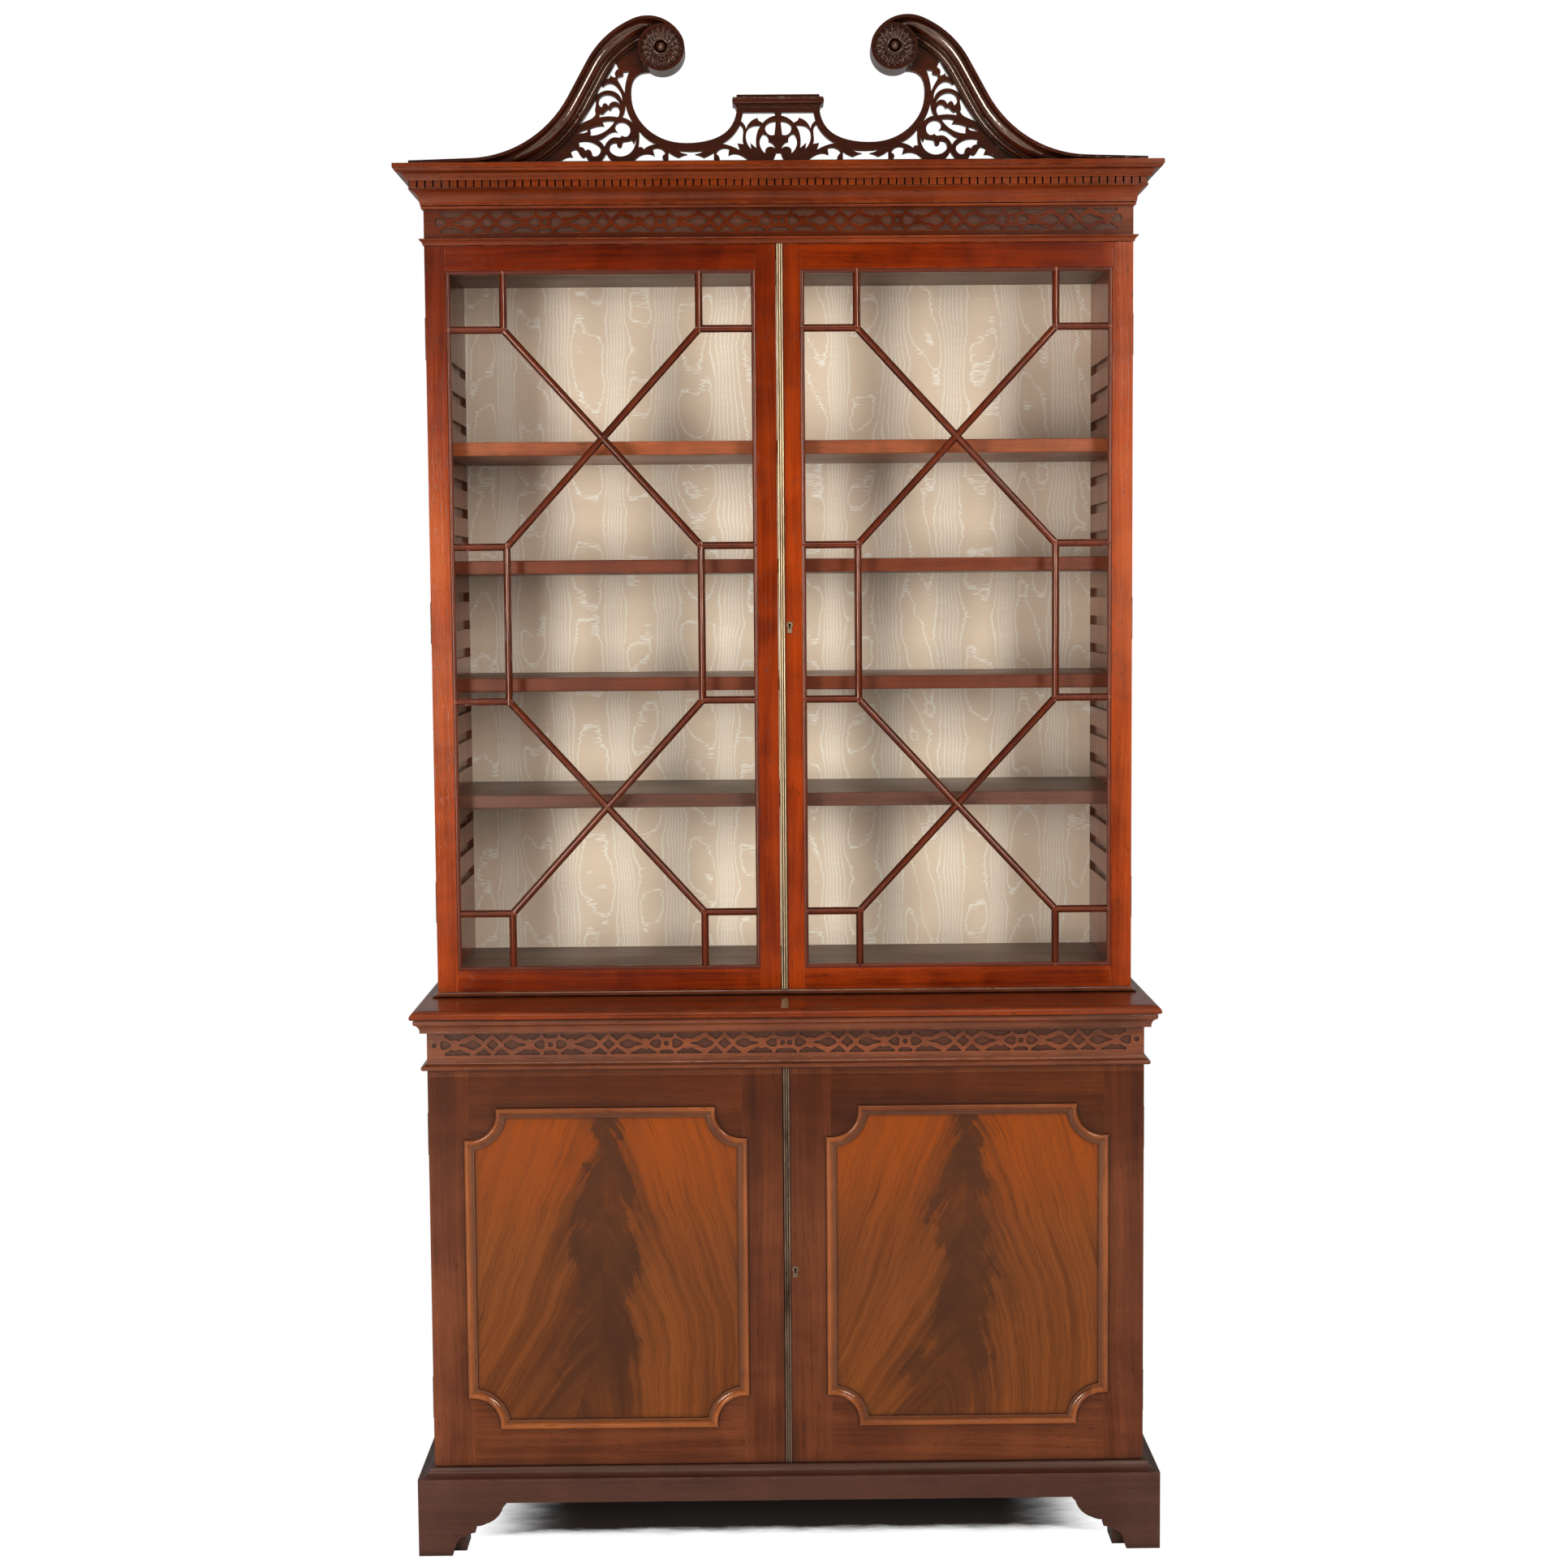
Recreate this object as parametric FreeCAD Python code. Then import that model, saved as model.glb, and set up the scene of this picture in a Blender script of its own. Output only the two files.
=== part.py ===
import FreeCAD, Part
import math
import os

os.makedirs("parts", exist_ok=True)

# A glazed bookcase with a swan-neck pediment, standing on a two-door cabinet.
# Millimetres, +Z up. The front faces -Y. The origin is on the floor, under the middle of the box
# that holds the whole object.

# Overall sizes
base_width = 1181.0
upper_inset = 3.0
base_depth = 507.0
upper_setback = 127.0
top_overhang = 25.5

# Heights, from the floor up
skirt_clearance = 89.0
skirt_height = 126.5
plinth_moulding_height = 17.0
lower_door_height = 667.0
base_bead_height = 18.3
base_frieze_height = 44.5
base_cove_height = 23.5
base_top_thickness = 14.0
waist_height = 8.0
upper_door_height = 1246.4
ceiling_drop = 24.0
frieze_bead_height = 10.4
upper_frieze_height = 48.0
astragal_height = 8.5
cornice_cove_height = 24.0
dentil_height = 11.0
crown_height = 25.4

# Boards
door_thickness = 22.0
door_gap = 0.5
door_end_gap = 0.6
case_side_thickness = 21.0
case_board_thickness = 22.0
base_board_thickness = 18.0
back_thickness = 12.0
back_board_count = 4
lining_thickness = 1.5
skirt_thickness = 22.0
foot_block_size = 55.0
dust_board_thickness = 12.0

# Shelves and the grooves that carry them
shelf_thickness = 23.0
shelf_setback = 55.0
shelf_play = 0.5
groove_height = 16.5
groove_depth = 6.6
groove_count = 19
groove_foot_margin = 138.3
groove_head_margin = 149.2
tongue_thickness = 16.0
tongue_drop = 3.5
shelf_edge_round = 2.0
shelf_count = 4
first_shelf_groove = 3
grooves_per_shelf = 4
base_shelf_rise = 318.5
cleat_size = 20.0

# Doors
upper_stile_width = 41.0
upper_bottom_rail = 42.0
upper_top_rail = 47.7
upper_split = 5.5
meeting_gap = 1.0
sticking_width = 7.0
sticking_depth = 6.0
glass_rebate_width = 5.0
glass_thickness = 2.0
glass_play = 0.4
glass_front = 8.5
lower_split = 5.5
panel_side_margin = 58.2
panel_middle_margin = 64.6
panel_bottom_margin = 61.9
panel_top_margin = 63.6
panel_corner_radius = 52.8
panel_moulding_width = 16.5
panel_thickness = 14.0
panel_play = 0.2

# Glazing bars
bar_width = 12.5
bar_bead_width = 8.4
bar_fillet = 2.0
bar_front = 1.0
bar_tongue = 3.0
bar_tongue_depth = 7.0
bar_inset_side = 87.0
bar_inset_end = 90.0
bar_middle_half = 129.3

# Brass fittings
reed_count = 3
reed_width = 3.66
reed_height = 3.2
reed_base = 1.5
hinge_length = 70.0
hinge_leaf_width = 16.0
hinge_leaf_thickness = 2.1
hinge_leaf_depth = 2.0
hinge_knuckle_radius = 3.2
hinge_pin_radius = 1.5
hinge_out = 0.8
hinge_notch_gap = 0.3
hinge_running_gap = 0.05
hinge_knuckles = 5
hinge_knuckle_gap = 0.2
pocket_play = 0.1
upper_hinge_inset = 150.0
lower_hinge_inset = 110.0
lock_width = 34.0
lock_height = 58.0
lock_depth = 12.0
lock_wall = 1.6
lock_bolt_height = 14.0
lock_bolt_depth = 6.0
lock_bolt_length = 24.0
lock_bolt_play = 0.4
lock_throw = 7.0
lock_setback = 0.5
upper_lock_rise = 616.2
lower_lock_rise = 327.6
key_backset = 18.2
key_hole_radius = 2.2
key_slot_width = 2.4
key_slot_length = 6.5
escutcheon_radius = 5.2
escutcheon_skirt = 4.2
escutcheon_length = 18.5
escutcheon_proud = 0.8
rod_radius = 3.0
rod_running_gap = 0.05
rod_length = 92.0
rod_throw = 8.0
rod_end_gap = 1.0
rod_inset = 13.0
rod_out = 6.5
rod_hole_radius = 3.6
rod_hole_depth = 10.0
rod_plate_width = 16.0
rod_plate_thickness = 1.5
rod_guide_width = 11.0
rod_guide_length = 12.0
rod_guide_wall = 3.0
rod_guide_shares = (0.3, 0.8)
rod_knob_radius = 3.2
rod_knob_length = 6.0

# Friezes
fret_thickness = 3.0
fret_half_period = 95.4
fret_double_offset = 5.6
upper_fret_bottom_strip = 8.8
upper_fret_field = 35.8
base_fret_bottom_strip = 5.0
base_fret_field = 35.8
fret_end_stile = 8.0
tooth_pitch = 13.35
tooth_width = 10.4
tooth_depth = 8.0
tooth_root = 16.0

# How far the mouldings stand out
base_bead_nose = 9.5
waist_nose = 9.5
frieze_bead_nose = 8.0
frieze_astragal_nose = 5.0
cornice_cove_reach = 21.5
crown_reach = 44.5

# Pediment
pediment_set_back = 3.0
pediment_board_thickness = 12.0
pediment_overhang = 18.5
neck_moulding_width = 34.0
neck_moulding_depth = 40.0
rosette_margin = 4.5
rosette_petals = 14
rosette_petal_radius = 5.6
rosette_petal_root = 2.4
rosette_ring_radius = 16.5
rosette_ring_half = 2.4
rosette_dome_height = 8.5
cap_depth = 42.0

# The pediment's module in shares of its half width, and the swan neck's curve in shares of that module.
# Its angles are in radians, from the level.
pediment_module_share = 0.404455
scroll_rise_share = 0.7022
tail_radius_share = 0.7793
neck_straight_share = 0.2611
crest_radius_share = 0.6324
scroll_radius_share = 0.257
scroll_centre_share = 0.865
drum_radius_share = 0.155
tail_slope_angle = 0.03
tail_turn_angle = 1.034
crest_turn_angle = 0.672
drum_lean_angle = 0.506

# Small clearances and overruns
overrun = 5.0

# Levels, added up from the heights
plinth_top = skirt_height + plinth_moulding_height
lower_door_bottom = plinth_top + door_end_gap
lower_door_top = lower_door_bottom + lower_door_height
base_bead_bottom = lower_door_top + door_end_gap
base_frieze_bottom = base_bead_bottom + base_bead_height
base_cove_bottom = base_frieze_bottom + base_frieze_height
base_top_bottom = base_cove_bottom + base_cove_height
base_top_level = base_top_bottom + base_top_thickness
waist_top = base_top_level + waist_height
upper_door_bottom = waist_top + door_end_gap
upper_door_top = upper_door_bottom + upper_door_height
case_floor = upper_door_bottom + case_board_thickness
case_ceiling = upper_door_top - ceiling_drop
lowest_groove = case_floor + groove_foot_margin
highest_groove = case_ceiling - groove_head_margin - groove_height
groove_pitch = (highest_groove - lowest_groove) / (groove_count - 1)
base_shelf_height = plinth_top + base_board_thickness + base_shelf_rise
upper_lock_height = upper_door_bottom + upper_lock_rise
lower_lock_height = lower_door_bottom + lower_lock_rise
frieze_bead_bottom = upper_door_top + door_end_gap
upper_frieze_bottom = frieze_bead_bottom + frieze_bead_height
astragal_bottom = upper_frieze_bottom + upper_frieze_height
cornice_cove_bottom = astragal_bottom + astragal_height
dentil_bottom = cornice_cove_bottom + cornice_cove_height
crown_bottom = dentil_bottom + dentil_height
cornice_top = crown_bottom + crown_height

# Planes, front to back
overall_depth = base_depth + top_overhang
back_y = overall_depth / 2
base_face_y = back_y - base_depth
upper_face_y = base_face_y + upper_setback
front_depth = door_thickness + door_gap
base_case_y = base_face_y + front_depth
upper_case_y = upper_face_y + front_depth
lining_y = back_y - back_thickness - lining_thickness
base_half = base_width / 2
upper_half = base_half - upper_inset
case_inner_half = upper_half - case_side_thickness
base_inner_half = base_half - case_side_thickness
hinge_notch_radius = hinge_knuckle_radius + hinge_notch_gap

# The pediment's curve
pediment_half_width = upper_half + pediment_overhang
pediment_module = pediment_half_width * pediment_module_share
tail_radius = tail_radius_share * pediment_module
neck_straight = neck_straight_share * pediment_module
crest_radius = crest_radius_share * pediment_module
scroll_radius = scroll_radius_share * pediment_module
scroll_centre_x = scroll_centre_share * pediment_module
drum_radius = drum_radius_share * pediment_module
pediment_top = cornice_top + scroll_rise_share * pediment_module + scroll_radius
rosette_radius = drum_radius - rosette_margin

vector = FreeCAD.Vector
along_x = vector(1, 0, 0)
along_y = vector(0, 1, 0)
along_z = vector(0, 0, 1)
middle = vector(0, 0, 0)


# Building blocks

def box(x_low, x_high, y_low, y_high, z_low, z_high):
    corner = vector(x_low, y_low, z_low)
    return Part.makeBox(x_high - x_low, y_high - y_low, z_high - z_low, corner)


def on_front(y):
    return lambda across, up: vector(across, y, up)


def on_plan(z):
    return lambda across, deep: vector(across, deep, z)


def stroke(points, place):
    # Two points are a straight edge, three are an arc, and more are one smooth curve.
    placed = [place(*point) for point in points]
    if len(placed) == 2:
        return Part.LineSegment(placed[0], placed[1]).toShape()
    if len(placed) == 3:
        return Part.Arc(placed[0], placed[1], placed[2]).toShape()
    curve = Part.BSplineCurve()
    curve.interpolate(placed)
    return curve.toShape()


def ring(strokes, place):
    return Part.Wire([stroke(points, place) for points in strokes])


def polygon(points, place):
    closed = list(points) + [points[0]]
    return Part.makePolygon([place(*point) for point in closed])


def chain(start, steps):
    # Each step is the end of a straight stretch, or the middle and the end of an arc.
    strokes = []
    here = start
    for step in steps:
        if len(step) == 2:
            strokes.append([here, step])
            here = step
        else:
            strokes.append([here, step[:2], step[2:]])
            here = step[2:]
    strokes.append([here, start])
    return strokes


def pierced(outer, holes):
    return Part.makeFace([outer] + holes, "Part::FaceMakerBullseye")


def prism_front(points, y_low, y_high):
    return Part.Face(polygon(points, on_front(y_low))).extrude(along_y * (y_high - y_low))


def prism_plan(points, z_low, z_high):
    return Part.Face(polygon(points, on_plan(z_low))).extrude(along_z * (z_high - z_low))


def mirrored(shape):
    return shape.mirror(middle, along_x)


def joined(shapes):
    whole = shapes[0]
    if len(shapes) > 1:
        whole = whole.multiFuse(shapes[1:])
    return whole.removeSplitter()


def write(name, shapes):
    solids = []
    for shape in shapes if isinstance(shapes, list) else [shapes]:
        solids.extend(shape.Solids)
    assert solids and all(solid.isValid() for solid in solids), name
    whole = solids[0] if len(solids) == 1 else Part.makeCompound(solids)
    whole.exportStep("parts/" + name + ".step")
    volume = sum(solid.Volume for solid in solids)
    print(f"{name}: {len(solids)} solids, {volume / 1000:.1f} cm3")


# Mouldings
# A moulding's outline is (out, up) points: out from the face of the case, up from its bottom.
# It runs across the front and back along both sides, mitred at the front corners.

def front_length(strokes, half, face, bottom, depth, reach):
    place = lambda out, up: vector(-half - reach, face - out, bottom + up)
    length = Part.Face(ring(strokes, place)).extrude(along_x * (2 * (half + reach)))
    top = bottom + max(point[1] for points in strokes for point in points)
    plan = [(-half - reach, face - reach), (half + reach, face - reach), (half, face),
            (half, face + depth), (-half, face + depth), (-half, face)]
    return length.common(prism_plan(plan, bottom, top))


def side_length(strokes, half, face, bottom, reach):
    place = lambda out, up: vector(half + out, face - reach, bottom + up)
    length = Part.Face(ring(strokes, place)).extrude(along_y * (back_y - face + reach))
    top = bottom + max(point[1] for points in strokes for point in points)
    plan = [(half, face), (half + reach, face - reach), (half + reach, back_y), (half, back_y)]
    return length.common(prism_plan(plan, bottom, top))


def moulding_run(half, face, bottom, height, steps):
    # The outline starts at the back of the front length and ends above it.
    start = (-front_depth, 0)
    strokes = chain(start, steps + [(-front_depth, height)])
    reach = max(point[0] for points in strokes for point in points)
    right = side_length(strokes, half, face, bottom, reach)
    return [front_length(strokes, half, face, bottom, front_depth, reach), right, mirrored(right)]


def moulded_slab(half, face, bottom, height, back, steps):
    # A board whose front and side edges carry the same moulding.
    strokes = chain((-overrun, 0), steps + [(-overrun, height)])
    reach = max(point[0] for points in strokes for point in points)
    edge = Part.Face(ring(strokes, lambda out, up: vector(-half - reach, face - out, bottom + up)))
    front = edge.extrude(along_x * (2 * (half + reach)))
    end = Part.Face(ring(strokes, lambda out, up: vector(half + out, face - reach, bottom + up)))
    side = end.extrude(along_y * (back - face + reach))
    deep = box(-half - reach, half + reach, face + overrun, back, bottom, bottom + height)
    wide = box(-half + overrun, half - overrun, face - reach, back, bottom, bottom + height)
    across = joined([front, deep])
    along = joined([side, wide, mirrored(side)])
    return across.common(along).removeSplitter()


# Plinth: skirts with bracket ends, corner blocks and the moulding on top

# Half of a bracket's lower edge, as (in from the outer corner, up), in shares of the skirt's clearance.
bracket_shares = [
    [(0.629, 0.0), (0.652, 0.101), (0.685, 0.180)],
    [(0.685, 0.180), (0.742, 0.303), (0.865, 0.371)],
    [(0.865, 0.371), (0.955, 0.415), (1.056, 0.438)],
    [(1.056, 0.438), (1.062, 0.506), (1.090, 0.562)],
    [(1.090, 0.562), (1.180, 0.573), (1.264, 0.607)],
    [(1.264, 0.607), (1.449, 0.708), (1.584, 0.921)],
    [(1.584, 0.921), (1.620, 0.960), (1.652, 1.0)],
]


def skirt_outline(half_length):
    def near(point):
        return (-half_length + point[0] * skirt_clearance, point[1] * skirt_clearance)

    def far(point):
        return (half_length - point[0] * skirt_clearance, point[1] * skirt_clearance)

    left = [[near(point) for point in points] for points in bracket_shares]
    right = [[far(point) for point in reversed(points)] for points in reversed(bracket_shares)]
    corners = [(-half_length, skirt_height), (half_length, skirt_height)]
    return ([[corners[0], (-half_length, 0)], [(-half_length, 0), left[0][0]]] + left
            + [[left[-1][-1], right[0][0]]] + right
            + [[right[-1][-1], (half_length, 0)], [(half_length, 0), corners[1]],
               [corners[1], corners[0]]])


def make_skirts():
    half = base_half + top_overhang
    face = base_face_y - top_overhang
    inside = skirt_thickness
    front = Part.Face(ring(skirt_outline(half), on_front(face))).extrude(along_y * inside)
    plan = [(-half, face), (half, face), (half - inside, face + inside), (inside - half, face + inside)]
    front = front.common(prism_plan(plan, 0, skirt_height))

    half_length = (back_y - face) / 2
    centre = (back_y + face) / 2
    place = lambda across, up: vector(half - inside, centre + across, up)
    side = Part.Face(ring(skirt_outline(half_length), place)).extrude(along_x * inside)
    plan = [(half, face), (half, back_y), (half - inside, back_y), (half - inside, face + inside)]
    side = side.common(prism_plan(plan, 0, skirt_height))

    back_half = half - inside
    place = on_front(back_y - inside)
    back = Part.Face(ring(skirt_outline(back_half), place)).extrude(along_y * inside)
    write("skirt_front", front)
    write("skirt_sides", [side, mirrored(side)])
    write("skirt_back", back)


def make_foot_blocks():
    inner = base_half + top_overhang - skirt_thickness
    front = base_face_y - top_overhang + skirt_thickness
    rear = back_y - skirt_thickness
    blocks = []
    for low, high in ((front, front + foot_block_size), (rear - foot_block_size, rear)):
        block = box(inner - foot_block_size, inner, low, high, 0, skirt_height)
        blocks += [block, mirrored(block)]
    write("foot_blocks", blocks)


def make_plinth_moulding():
    out = top_overhang
    high = plinth_moulding_height
    fillet = high * 0.18
    steps = [(out, 0), (out, fillet), (out * 0.94, fillet),
             (out * 0.46, high * 0.40, out * 0.24, high * 0.88), (out * 0.24, high)]
    write("plinth_moulding", moulding_run(base_half, base_face_y, skirt_height, high, steps))


# Base cabinet

def make_base_case():
    side = box(base_inner_half, base_half, base_case_y, back_y, skirt_height, base_top_bottom)
    axis_y = base_face_y + door_thickness + door_gap / 2
    for height in lower_hinge_heights():
        side = side.cut(hinge_case_cut(base_half, axis_y, height))
    write("base_side_right", side)
    write("base_side_left", mirrored(side))

    inner_back = back_y - back_thickness
    low = box(-base_inner_half, base_inner_half, base_case_y, inner_back,
              plinth_top, plinth_top + base_board_thickness)
    high = box(-base_inner_half, base_inner_half, base_case_y, inner_back,
               lower_door_top - base_board_thickness, lower_door_top)
    low = low.cut(rod_hole(-lower_split - rod_inset, base_case_y - door_gap + rod_out,
                           plinth_top + base_board_thickness - rod_hole_depth))
    high = high.cut(rod_hole(-lower_split - rod_inset, base_case_y - door_gap + rod_out,
                             lower_door_top - base_board_thickness))
    write("base_boards", [low, high])
    write("base_back", box(-base_inner_half, base_inner_half, inner_back, back_y,
                           plinth_top, base_top_bottom))

    shelf = box(-base_inner_half, base_inner_half, base_case_y + shelf_setback, inner_back,
                base_shelf_height, base_shelf_height + base_board_thickness)
    cleat = box(base_inner_half - cleat_size, base_inner_half, base_case_y + shelf_setback, inner_back,
                base_shelf_height - cleat_size, base_shelf_height)
    write("base_shelf", [shelf, cleat, mirrored(cleat)])


def make_base_frieze():
    write("base_frieze", box(-base_half, base_half, base_face_y + fret_thickness, base_case_y,
                             base_frieze_bottom, base_cove_bottom))
    high = base_bead_height
    nose = base_bead_nose
    bead = [(nose * 0.4, 0), (nose * 0.9, high * 0.07, nose, high * 0.25),
            (nose * 0.9, high * 0.38), (nose * 0.25, high * 0.55, nose * 0.05, high)]
    runs = moulding_run(base_half, base_face_y, base_bead_bottom, high, bead)
    high = base_cove_height
    out = top_overhang
    cove = [(out * 0.41, 0), (out * 0.48, high * 0.40, out * 0.68, high * 0.60),
            (out * 0.74, high * 0.62), (out * 0.79, high * 0.80, out * 0.74, high)]
    runs += moulding_run(base_half, base_face_y, base_cove_bottom, high, cove)
    write("base_mouldings", runs)


def make_base_top():
    out = top_overhang
    thick = base_top_thickness
    steps = [(out * 0.88, 0), (out * 0.97, thick * 0.10, out, thick * 0.35),
             (out * 0.85, thick * 0.78, out * 0.49, thick * 0.92), (out * 0.49, thick)]
    write("base_top", moulded_slab(base_half, base_face_y, base_top_bottom, thick, back_y, steps))


# Upper case

def make_upper_case():
    side = box(case_inner_half, upper_half, upper_case_y, back_y,
               base_top_level, cornice_top - dust_board_thickness)
    for number in range(groove_count):
        low = lowest_groove + number * groove_pitch
        side = side.cut(box(case_inner_half - overrun, case_inner_half + groove_depth,
                            upper_face_y + shelf_setback, lining_y, low, low + groove_height))
    axis_y = upper_face_y + door_thickness + door_gap / 2
    for height in upper_hinge_heights():
        side = side.cut(hinge_case_cut(upper_half, axis_y, height))
    write("upper_side_right", side)
    write("upper_side_left", mirrored(side))

    rod_x = -upper_split - rod_inset
    rod_y = upper_case_y - door_gap + rod_out
    inner_back = back_y - back_thickness
    low = box(-case_inner_half, case_inner_half, upper_case_y, inner_back, base_top_level, case_floor)
    high = box(-case_inner_half, case_inner_half, upper_case_y, inner_back,
               case_ceiling, case_ceiling + case_board_thickness)
    write("upper_bottom", low.cut(rod_hole(rod_x, rod_y, case_floor - rod_hole_depth)))
    write("upper_top", high.cut(rod_hole(rod_x, rod_y, case_ceiling)))

    boards = []
    board_width = 2 * case_inner_half / back_board_count
    for number in range(back_board_count):
        left = -case_inner_half + number * board_width
        boards.append(box(left, left + board_width, inner_back, back_y,
                          base_top_level, cornice_top - dust_board_thickness))
    write("upper_back", boards)
    write("silk_lining", box(-case_inner_half, case_inner_half, lining_y, lining_y + lining_thickness,
                             case_floor, case_ceiling))


def make_shelves():
    for number in range(1, shelf_count + 1):
        groove = first_shelf_groove + (shelf_count - number) * grooves_per_shelf
        low = lowest_groove + groove * groove_pitch - tongue_drop
        body = box(shelf_play - case_inner_half, case_inner_half - shelf_play,
                   upper_face_y + shelf_setback, lining_y - shelf_play, low, low + shelf_thickness)
        long_edges = [edge for edge in body.Edges
                      if edge.BoundBox.XLength > case_inner_half
                      and edge.BoundBox.YMax < upper_face_y + shelf_setback + shelf_play]
        body = body.makeFillet(shelf_edge_round, long_edges)
        reach = case_inner_half + groove_depth - shelf_play
        tongue = box(-reach, reach, upper_face_y + shelf_setback + shelf_play, lining_y - shelf_play,
                     low + tongue_drop, low + tongue_drop + tongue_thickness)
        write(f"shelf_{number}", joined([body, tongue]))


def make_waist_moulding():
    high = waist_height
    nose = waist_nose
    steps = [(nose * 0.7, 0), (nose, high * 0.32), (nose * 0.45, high * 0.50, nose * 0.1, high)]
    write("waist_moulding", moulding_run(upper_half, upper_face_y, base_top_level, high, steps))


def make_upper_frieze():
    write("upper_frieze", box(-upper_half, upper_half, upper_face_y + fret_thickness, upper_case_y,
                              upper_frieze_bottom, astragal_bottom))
    high = frieze_bead_height
    nose = frieze_bead_nose
    bead = [(nose * 0.25, 0), (nose * 0.45, high * 0.42, nose * 0.92, high * 0.78),
            (nose, high * 0.88), (nose * 0.92, high)]
    runs = moulding_run(upper_half, upper_face_y, frieze_bead_bottom, high, bead)
    high = astragal_height
    nose = frieze_astragal_nose
    astragal = [(nose * 0.3, 0), (nose * 0.85, high * 0.35, nose * 0.3, high * 0.70),
                (nose, high * 0.70), (nose, high)]
    runs += moulding_run(upper_half, upper_face_y, astragal_bottom, high, astragal)
    write("frieze_mouldings", runs)


# Blind fret: one half period, drawn once and mirrored along the frieze.
# Along is in shares of the half period from a circle's centre, up in shares of half the field's
# height from its middle line.
circle_share = 0.24
teardrop_shares = [
    [(0.104, 0.0), (0.102, 0.26), (0.147, 0.42)],
    [(0.147, 0.42), (0.235, 0.30), (0.293, 0.0)],
]
neck_lozenge_shares = [
    [(0.405, 0.0), (0.47, 0.13), (0.545, 0.17)],
    [(0.545, 0.17), (0.59, 0.33), (0.675, 0.46)],
    [(0.675, 0.46), (0.78, 0.22)],
    [(0.78, 0.22), (0.815, 0.0)],
]
diamond_shares = [
    [(0.888, 0.0), (1.0, 0.52)],
]
circle_cell_shares = [
    [(0.0, 0.96), (0.122, 0.96)],
    [(0.122, 0.96), (0.122, 0.74)],
    [(0.122, 0.74), (0.075, 0.60), (0.0, 0.56)],
]
long_cell_shares = [
    [(0.178, 0.96), (0.625, 0.96)],
    [(0.625, 0.96), (0.60, 0.80)],
    [(0.60, 0.80), (0.48, 0.52)],
    [(0.48, 0.52), (0.43, 0.36)],
    [(0.43, 0.36), (0.36, 0.50), (0.29, 0.36)],
    [(0.29, 0.36), (0.25, 0.55)],
    [(0.25, 0.55), (0.178, 0.74)],
    [(0.178, 0.74), (0.178, 0.96)],
]
arch_cell_shares = [
    [(0.70, 0.96), (0.975, 0.96)],
    [(0.975, 0.96), (0.955, 0.78)],
    [(0.955, 0.78), (0.905, 0.55), (0.848, 0.30)],
    [(0.848, 0.30), (0.80, 0.52), (0.725, 0.78)],
    [(0.725, 0.78), (0.70, 0.96)],
]


def double_up(shares):
    # A cell that straddles the middle line, from its upper half.
    lower = [[(along, -up) for along, up in reversed(points)] for points in reversed(shares)]
    return shares + lower


def double_along(shares, pivot):
    # A cell that straddles a mirror line, from its near half.
    far = [[(2 * pivot - along, up) for along, up in reversed(points)] for points in reversed(shares)]
    return shares + far


def closed_cell(shares):
    strokes = list(shares)
    if strokes[-1][-1] != strokes[0][0]:
        strokes.append([strokes[-1][-1], strokes[0][0]])
    return strokes


def fret_cells(number):
    # The cells that one half period owns, in shares, before it is placed.
    cells = [double_up(teardrop_shares), double_up(neck_lozenge_shares)]
    for flip in (1, -1):
        for shares in (long_cell_shares, arch_cell_shares):
            cells.append([[(along, flip * up) for along, up in points] for points in shares])
    if number % 2 == 0:
        diamond = double_along(diamond_shares, 1.0)
        cells.append(double_up(diamond))
    return cells


def make_fret(name, half, face, bottom, height, bottom_strip, field):
    # A pierced strip over a plain ground, with its pattern centred on the front.
    middle_up = bottom + bottom_strip + field / 2
    holes = []
    limit = half - fret_end_stile

    def add(strokes, place):
        wire = ring(closed_cell(strokes), place)
        if wire.BoundBox.XMax < limit and wire.BoundBox.XMin > -limit:
            holes.append(wire)

    half_periods = math.ceil(half / fret_half_period)
    for side in (1, -1):
        for number in range(half_periods):
            forward = number % 2 == 0
            near = fret_double_offset + (number if forward else number + 1) * fret_half_period
            heading = 1 if forward else -1

            def place(along, up, near=near, heading=heading, side=side):
                across = near + heading * along * fret_half_period
                return vector(side * across, face, middle_up + up * field / 2)

            for strokes in fret_cells(number):
                add(strokes, place)
            add_circles(number, near, side, face, middle_up, field, limit, holes)
    add_middle_cells(face, middle_up, field, holes)
    outer = polygon([(-half, bottom), (half, bottom), (half, bottom + height), (-half, bottom + height)],
                    on_front(face))
    write(name, pierced(outer, holes).extrude(along_y * fret_thickness))


def add_circles(number, near, side, face, middle_up, field, limit, holes):
    # The small circle that begins each even half period, with the two cells over and under it.
    if number % 2:
        return
    radius = circle_share * field / 2
    if near + radius < limit:
        holes.append(circle_wire(vector(side * near, face, middle_up), radius))
    if number == 0:
        return
    for flip in (1, -1):
        strokes = closed_cell(double_along_reverse(circle_cell_shares))
        place = lambda along, up: vector(side * (near + along * fret_half_period), face,
                                         middle_up + flip * up * field / 2)
        wire = ring(strokes, place)
        if wire.BoundBox.XMax < limit and wire.BoundBox.XMin > -limit:
            holes.append(wire)


def double_along_reverse(shares):
    # The same cell on the other side of the line that it starts on.
    near = [[(-along, up) for along, up in reversed(points)] for points in reversed(shares)]
    return shares + near


def add_middle_cells(face, middle_up, field, holes):
    # The cells over and under the pair of circles in the middle of the front.
    for flip in (1, -1):
        def place(along, up):
            shift = fret_double_offset if along > 0 else -fret_double_offset if along < 0 else 0
            return vector(along * fret_half_period + shift, face, middle_up + flip * up * field / 2)
        holes.append(ring(closed_cell(double_along_reverse(circle_cell_shares)), place))


def circle_wire(centre, radius):
    return Part.Wire(Part.makeCircle(radius, centre, along_y))


# Cornice

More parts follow.
